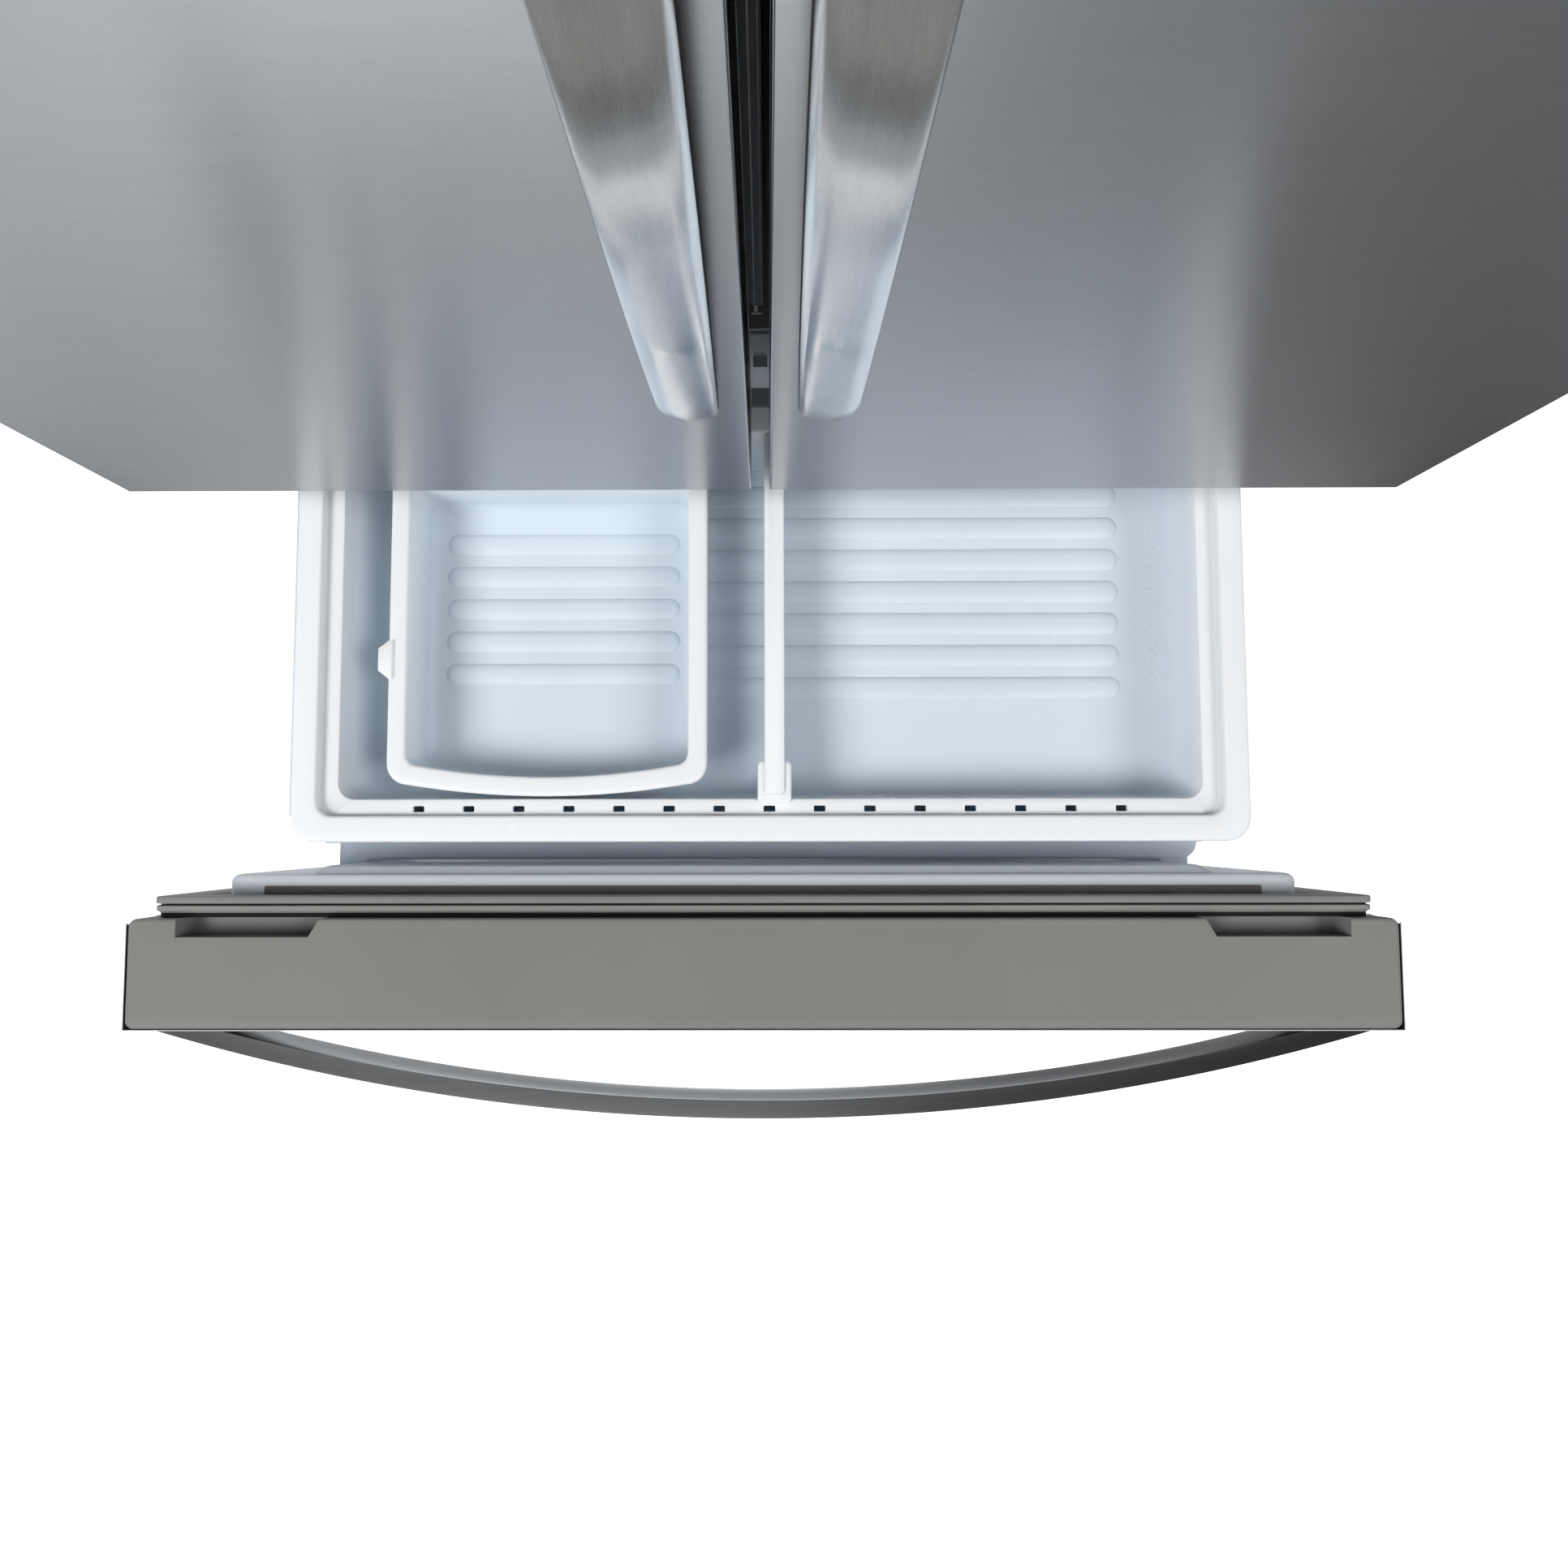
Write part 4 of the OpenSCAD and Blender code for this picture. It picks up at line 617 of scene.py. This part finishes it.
# a tub with a rolled rim, from the outside of its floor up and over to the inside of its floor
def rolledTub(name, low, high, floor, step, wall, foot, ledge, skirt, corner, bow=0.0, back=None, sides=None):
    back = step if back is None else back
    sides = foot if sides is None else sides
    top = high.z
    rings = []

    def at(inset, front, rear, level, radius):
        rings.append(ring(low.x + inset, high.x - inset, low.y + front, high.y - rear, radius, level, bow=bow))

    outer = [k * 15 for k in range(6, -1, -1)]
    for a in outer:                             # outside of the floor and its fillet
        lean, rise = 1 - math.cos(math.radians(a)), 1 - math.sin(math.radians(a))
        at(step + sides * lean - wall, step + foot * lean + 2 - wall, back + foot * lean - wall + 1,
           floor - wall + sides * rise if a else floor + sides, max(corner * 0.8, 4))
    under = top - (ledge + wall if ledge else wall + 1.2)
    at(step - wall, step - wall, back - wall, under, corner * 0.8)
    at(wall * 0.8, wall * 0.8, wall * 0.8, under, corner - 1)
    at(wall * 0.8, wall * 0.8, wall * 0.8, top - skirt, corner - 1)
    at(0.2, 0.2, 0.2, top - skirt, corner)
    lift = min(3.2, skirt * 0.5)
    for a in (0, 22, 45, 68, 90):               # outer roll of the rim
        turn = math.radians(a)
        out = lift * (1 - math.cos(turn))
        at(out, out, out, top - lift * (1 - math.sin(turn)), corner)
    shelf = 13.0 if ledge else 0.0
    rimX, rimF, rimB = step - shelf, step - shelf, back if back < step else back - shelf
    for a in (0, 25, 50, 75, 90):               # inner roll
        turn = math.radians(a)
        out = 2.4 * (1 - math.sin(turn))
        at(rimX - out, rimF - out, rimB - out, top - 2.4 * (1 - math.cos(turn)), max(corner - 6, 4))
    if ledge:
        at(rimX + 0.2, rimF + 0.2, rimB + 0.2, top - ledge + 0.8, max(corner - 6, 4))
        at(rimX + 1.0, rimF + 1.0, rimB + 0.3, top - ledge, max(corner - 6, 4))
        at(step - 1.6, step - 1.6, back + 0.4, top - ledge, corner * 0.7)
        at(step - 0.4, step - 0.4, back + 0.5, top - ledge - 0.5, corner * 0.7)
        at(step, step, back + 0.6, top - ledge - 2, corner * 0.7)
    for a in (0, 15, 30, 45, 60, 75, 90):       # inner wall's fillet into the floor
        lean, rise = 1 - math.cos(math.radians(a)), 1 - math.sin(math.radians(a))
        at(step + sides * lean, step + foot * lean + 2, back + foot * lean + 1,
           floor + sides * rise if a else floor + sides, corner * 0.7 + 4 * lean)
    return loft(name, rings, sharp=50.0)


def ledgeCutter(centre, pitch, count, y, level, wide=9.0, deep=4.6):
    slots = []
    for k in range(count):
        x = centre + pitch * (k - (count - 1) / 2)
        slots.append(block("slot", (x - wide / 2, y, level - 8), (x + wide / 2, y + deep, level + 6), 0.8, 2))
    return joined("cutter", slots)


# upper basket
tray = {"step": 33.0, "wall": 3.0, "foot": 5.0, "side": 36.0, "ledge": 8.0, "skirt": 14.0, "corner": 18.0,
        "back": 22.0, "floor": 62.0, "slots": 15, "pitch": 38.64, "slotIn": 23.0, "ribPitch": 27.2, "ribs": 8,
        "firstRib": 118.0, "ribIn": 72.0, "ribWide": 19.0}
low, high = boxOf("upper_basket")
floor = high.z - tray["floor"]
centre = (low.x + high.x) / 2
basket = rolledTub("upperBasket", low, high, floor, tray["step"], tray["wall"], tray["foot"], tray["ledge"],
                   tray["skirt"], tray["corner"], back=tray["back"], sides=tray["side"])
basket = cutFrom(basket, ledgeCutter(centre, tray["pitch"], tray["slots"], low.y + tray["slotIn"],
                                     high.z - tray["ledge"]))
fitOn(basket, "upper_basket", "basketWhite", "basket_plastic", "upper_basket")
ribs = []
for k in range(tray["ribs"]):
    y = low.y + tray["firstRib"] + k * tray["ribPitch"]
    rows = [ring(low.x + tray["ribIn"] + d, high.x - tray["ribIn"] - d, y + d, y + tray["ribWide"] - d, 9,
                 floor + rise, steps=6)
            for d, rise in ((0, -0.4), (0.6, 0.5), (2.0, 1.3), (4.0, 2.0), (6.5, 2.4))]
    ribs.append(loft("rib", rows))
fitOn(joined("upperBasketRibs", ribs), "upper_basket", "basketWhite", "basket_plastic")
gate = loft("upperBasketGate", [ring(centre - 34, centre - 24, low.y + 128, low.y + 138, 5, floor + d, steps=6)
                                for d in (0, 0.5)])
fitOn(gate, "upper_basket", "basketWhite", "basket_plastic")
# a fine beaded line moulded into the right wall, just above its fillet
bead = {"inset": 47.0, "rise": 7.4, "count": 30, "pitch": 5.0, "zig": 1.6, "size": 0.8, "first": 128.0}
beads = []
for k in range(bead["count"]):
    x = high.x - bead["inset"] + (bead["zig"] if k % 2 else -bead["zig"])
    y, level = low.y + bead["first"] + k * bead["pitch"], floor + bead["rise"] + (1.1 if k % 2 else -0.7)
    beads.append(block("bead", (x - bead["size"], y - bead["size"], level - bead["size"]),
                       (x + bead["size"], y + bead["size"], level + bead["size"]), 0.4, 2))
fitOn(joined("upperBasketBeads", beads), "upper_basket", "basketWhite", "basket_plastic")
runners = [block("runner", (x, low.y + 20, high.z - 15.6), (x + 4, high.y - 20, high.z - 10.5), 0.8)
           for x in (low.x + 13, high.x - 17)]
fitOn(joined("upperBasketRunners", runners), "upper_basket", "basketWhite", "basket_plastic")

# lower basket
deepBasket = {"step": 32.0, "wall": 3.0, "foot": 20.0, "corner": 14.0, "skirt": 8.0, "slots": 15,
              "pitch": 38.64, "slotIn": 22.0, "ledge": 4.0, "back": 20.0}
low, high = boxOf("lower_basket")
basket = rolledTub("lowerBasket", low, high, low.z + 3, deepBasket["step"], deepBasket["wall"],
                   deepBasket["foot"], deepBasket["ledge"], deepBasket["skirt"], deepBasket["corner"],
                   back=deepBasket["back"])
basket = cutFrom(basket, ledgeCutter(centre, deepBasket["pitch"], deepBasket["slots"],
                                     low.y + deepBasket["slotIn"], high.z - deepBasket["ledge"]))
fitOn(basket, "drawer", "lowerBasket", "lower_basket_plastic", "lower_basket")
print("baskets moulded")

# loose bin
looseBin = {"step": 15.0, "wall": 2.4, "foot": 9.0, "corner": 16.0, "skirt": 6.0, "bow": 9.0, "long": 253.0,
            "ribs": 7, "firstRib": 86.0, "ribPitch": 27.4, "ribIn": 26.0, "ribWide": 18.0,
            "tab": (81.0, 114.0), "tabOut": 8.0}
low, high = boxOf("storage_bin")
binLow = Vector((low.x + looseBin["tabOut"], high.y - looseBin["long"], low.z))
tub = rolledTub("looseBin", binLow, high, low.z + 4, looseBin["step"], looseBin["wall"], looseBin["foot"], 0.0,
                looseBin["skirt"], looseBin["corner"], bow=looseBin["bow"])
fitOn(tub, "storage_bin", "looseBin", "bin_plastic", "storage_bin")
ribs = []
for k in range(looseBin["ribs"]):
    y = binLow.y + looseBin["firstRib"] + k * looseBin["ribPitch"]
    if y + 8 < high.y - 30:
        rows = [ring(binLow.x + looseBin["ribIn"] + d, high.x - looseBin["ribIn"] - d, y + d,
                     y + looseBin["ribWide"] - d, 8.5, low.z + 3.8 + rise, steps=6)
                for d, rise in ((0, 0), (0.6, 0.6), (2.0, 1.5), (4.0, 2.3), (6.5, 2.7))]
        ribs.append(loft("rib", rows))
tabY = (binLow.y + looseBin["tab"][0], binLow.y + looseBin["tab"][1])
tabRows = []
for d, rise in ((0.6, 0), (0, 0.8), (0, 2.8), (0.5, 3.7), (1.2, 4.0)):
    points = [(low.x + d, tabY[1] - 8), (low.x + d, tabY[0] + 8), (binLow.x + 2, tabY[0] + d),
              (binLow.x + 6, tabY[0] + d), (binLow.x + 6, tabY[1] - d), (binLow.x + 2, tabY[1] - d)]
    tabRows.append([Vector((x, y, high.z - 4 + rise)) * mm for x, y in points])
ribs.append(loft("tab", tabRows))
fitOn(joined("looseBinRibs", ribs), "storage_bin", "looseBin", "bin_plastic")

# divider
fence = {"half": 8.0, "draft": 1.5, "turn": 2.2}
low, high = boxOf("basket_divider")
middle = (low.x + high.x) / 2
rows = []
for d, level in ((fence["draft"] + 1.2, low.z), (fence["draft"], low.z + 1.5), (0.2, high.z - fence["turn"]),
                 (0.8, high.z - 0.7), (fence["turn"], high.z)):
    rows.append(ring(middle - fence["half"] + d, middle + fence["half"] - d, low.y + 7 + d, high.y - d, 3,
                     level))
parts = [loft("fence", rows)]
rows = [ring(low.x + d, high.x - d, low.y + d, low.y + 33 - d, 4.5, level)
        for d, level in ((0.8, high.z - 7.6), (0, high.z - 6.6), (0, high.z - 4.6), (0.8, high.z - 3.4),
                         (2, high.z - 3))]
parts.append(loft("foot", rows))
parts.append(block("line", (middle - 9, low.y + 6, high.z - 3.1), (middle + 9, low.y + 7.2, high.z - 2.4), 0.3,
                   2))
fitOn(joined("basketDivider", parts), "basket_divider", "basketWhite", "basket_plastic", "basket_divider")

# seal lips on the bar between the doors
low, high = boxOf("mullion_bar")
seam = {"places": ((-3.6, 0.8), (0.8, 0.5)), "proud": 0.35, "end": 12.0}
lines = [block("line", (x, low.y - seam["proud"], low.z + seam["end"]),
               (x + wide, low.y + 1, high.z - seam["end"]), 0.25, 2) for x, wide in seam["places"]]
fitOn(joined("mullionLines", lines), "mullion_bar", "trackPaint", "mullion_plastic")
tip = [block("tip", (-4, low.y - 0.3, low.z + 2), (-1, low.y + 1, low.z + 9), 0.8),
       block("tip", (-5.5, low.y - 0.3, low.z - 0.5), (1.5, low.y + 1, low.z + 1.2), 0.4)]
fitOn(joined("mullionTip", tip), "mullion_bar", "trackPaint", "mullion_plastic")

# hinge covers, softened
low, high = boxOf("hinge_covers")
coverSize = {"wide": 80.0, "corner": 11.0}
covers = []
for sign in (-1, 1):
    xs = sorted((sign * (high.x - coverSize["wide"]), sign * high.x))
    rows = [ring(xs[0] + d, xs[1] - d, low.y + d, high.y - d, coverSize["corner"], level)
            for d, level in ((0, low.z), (0, high.z - 9), (0.8, high.z - 5), (2.6, high.z - 2.2),
                             (5.5, high.z - 0.6), (9, high.z))]
    covers.append(loft("cover", rows))
fitOn(joined("hingeCovers", covers), "cabinet", "darkPlastic", "dark_plastic", "hinge_covers")
print("pieces placed")

# floor, light and camera
floorSize = 14.0
bpy.ops.mesh.primitive_plane_add(size=floorSize)
ground = bpy.context.object
ground.name = "studioFloor"
s = Shader("studioFloor")
cloud = s.noise((1, 1, 1), 1.4, 2.0)
ground.data.materials.append(s.finish({
    "Base Color": s.blend(cloud, (0.9, 0.9, 0.9, 1), (0.93, 0.93, 0.93, 1)), "Roughness": cloud * 0.1 + 0.7,
    "Emission Color": (1, 1, 1, 1), "Emission Strength": 0.75}))
ground.visible_glossy = False                    # metal reflects the soft greys of the studio instead

studio = {"high": [(0.0, 0.75), (0.02, 0.45), (0.045, 0.06), (0.1, 0.08), (0.15, 0.35), (0.2, 0.8), (0.3, 1.0),
                   (0.42, 0.7), (0.52, 0.4), (0.66, 0.15), (1.0, 0.1)],
          "wide": [(0.0, 0.38), (0.2, 0.6), (0.33, 1.0), (0.5, 1.0), (0.6, 0.36), (0.75, 0.17), (0.9, 0.15)],
          "pool": [(0.0, 1.0), (0.07, 1.0), (0.12, 0.0), (1.0, 0.0)],
          "flank": [(0.0, 0.2), (0.24, 0.4), (0.4, 0.0), (0.6, 0.0), (0.76, 0.4), (1.0, 0.1)],
          "strength": 1.7}
s = Shader("studio", "worlds")
aim = s.add("ShaderNodeSeparateXYZ", None, {0: s.add("ShaderNodeTexCoord")["Generated"]})
glow = s.ramp(aim["Z"] * 0.5 + 0.5, studio["high"])
across = s.ramp(aim["X"] * 0.5 + 0.5, studio["wide"])
pool = s.ramp(aim["Z"] * 0.5 + 0.5, studio["pool"])
flank = s.ramp(aim["X"] * 0.5 + 0.5, studio["flank"])
colour = s.blend(1.0, glow, across, "MULTIPLY")
colour = s.blend(1.0, colour, s.blend(1.0, pool, flank, "MULTIPLY"), "ADD")
colour = s.blend(1.0, colour, (0.95, 0.98, 1.0, 1), "MULTIPLY")
glowing = s.add("ShaderNodeBackground", None, {0: colour, 1: studio["strength"]})[0]
s.add("ShaderNodeOutputWorld", None, {"Surface": glowing})
bpy.context.scene.world = s.material
bpy.context.scene.view_settings.view_transform = "Standard"

lamps = {
    "key": {"at": (-1.7, -1.3, 2.8), "to": (0, -0.3, 0.5), "size": 1.3, "power": 63},
    "fill": {"at": (1.9, -1.0, 2.6), "to": (0, -0.3, 0.6), "size": 1.3, "power": 38},
    "front": {"at": (0.0, -3.6, 1.8), "to": (0, -0.5, 0.8), "size": 2.2, "power": 16},
}
for name, lamp in lamps.items():
    light = bpy.data.lights.new(name, "AREA")
    light.energy, light.size = lamp["power"], lamp["size"]
    holder = bpy.data.objects.new(name, light)
    holder.visible_glossy = False
    holder.location = lamp["at"]
    holder.rotation_euler = (Vector(lamp["to"]) - Vector(lamp["at"])).to_track_quat("-Z", "Y").to_euler()
    bpy.context.scene.collection.objects.link(holder)

shot = {"at": (0.0052, -0.439, 1.2247), "tilt": (3.08, 0.28, -0.08), "lens": 19.54, "shift": 0.0126,
        "sensor": 36.0, "clip": (0.01, 50.0)}
eye = bpy.data.cameras.new("camera")
eye.sensor_width, eye.lens, eye.shift_x = shot["sensor"], shot["lens"], shot["shift"]
eye.clip_start, eye.clip_end = shot["clip"]
camera = bpy.data.objects.new("camera", eye)
camera.location = shot["at"]
camera.rotation_euler = [math.radians(part) for part in shot["tilt"]]
bpy.context.scene.collection.objects.link(camera)
bpy.context.scene.camera = camera
print("camera set")
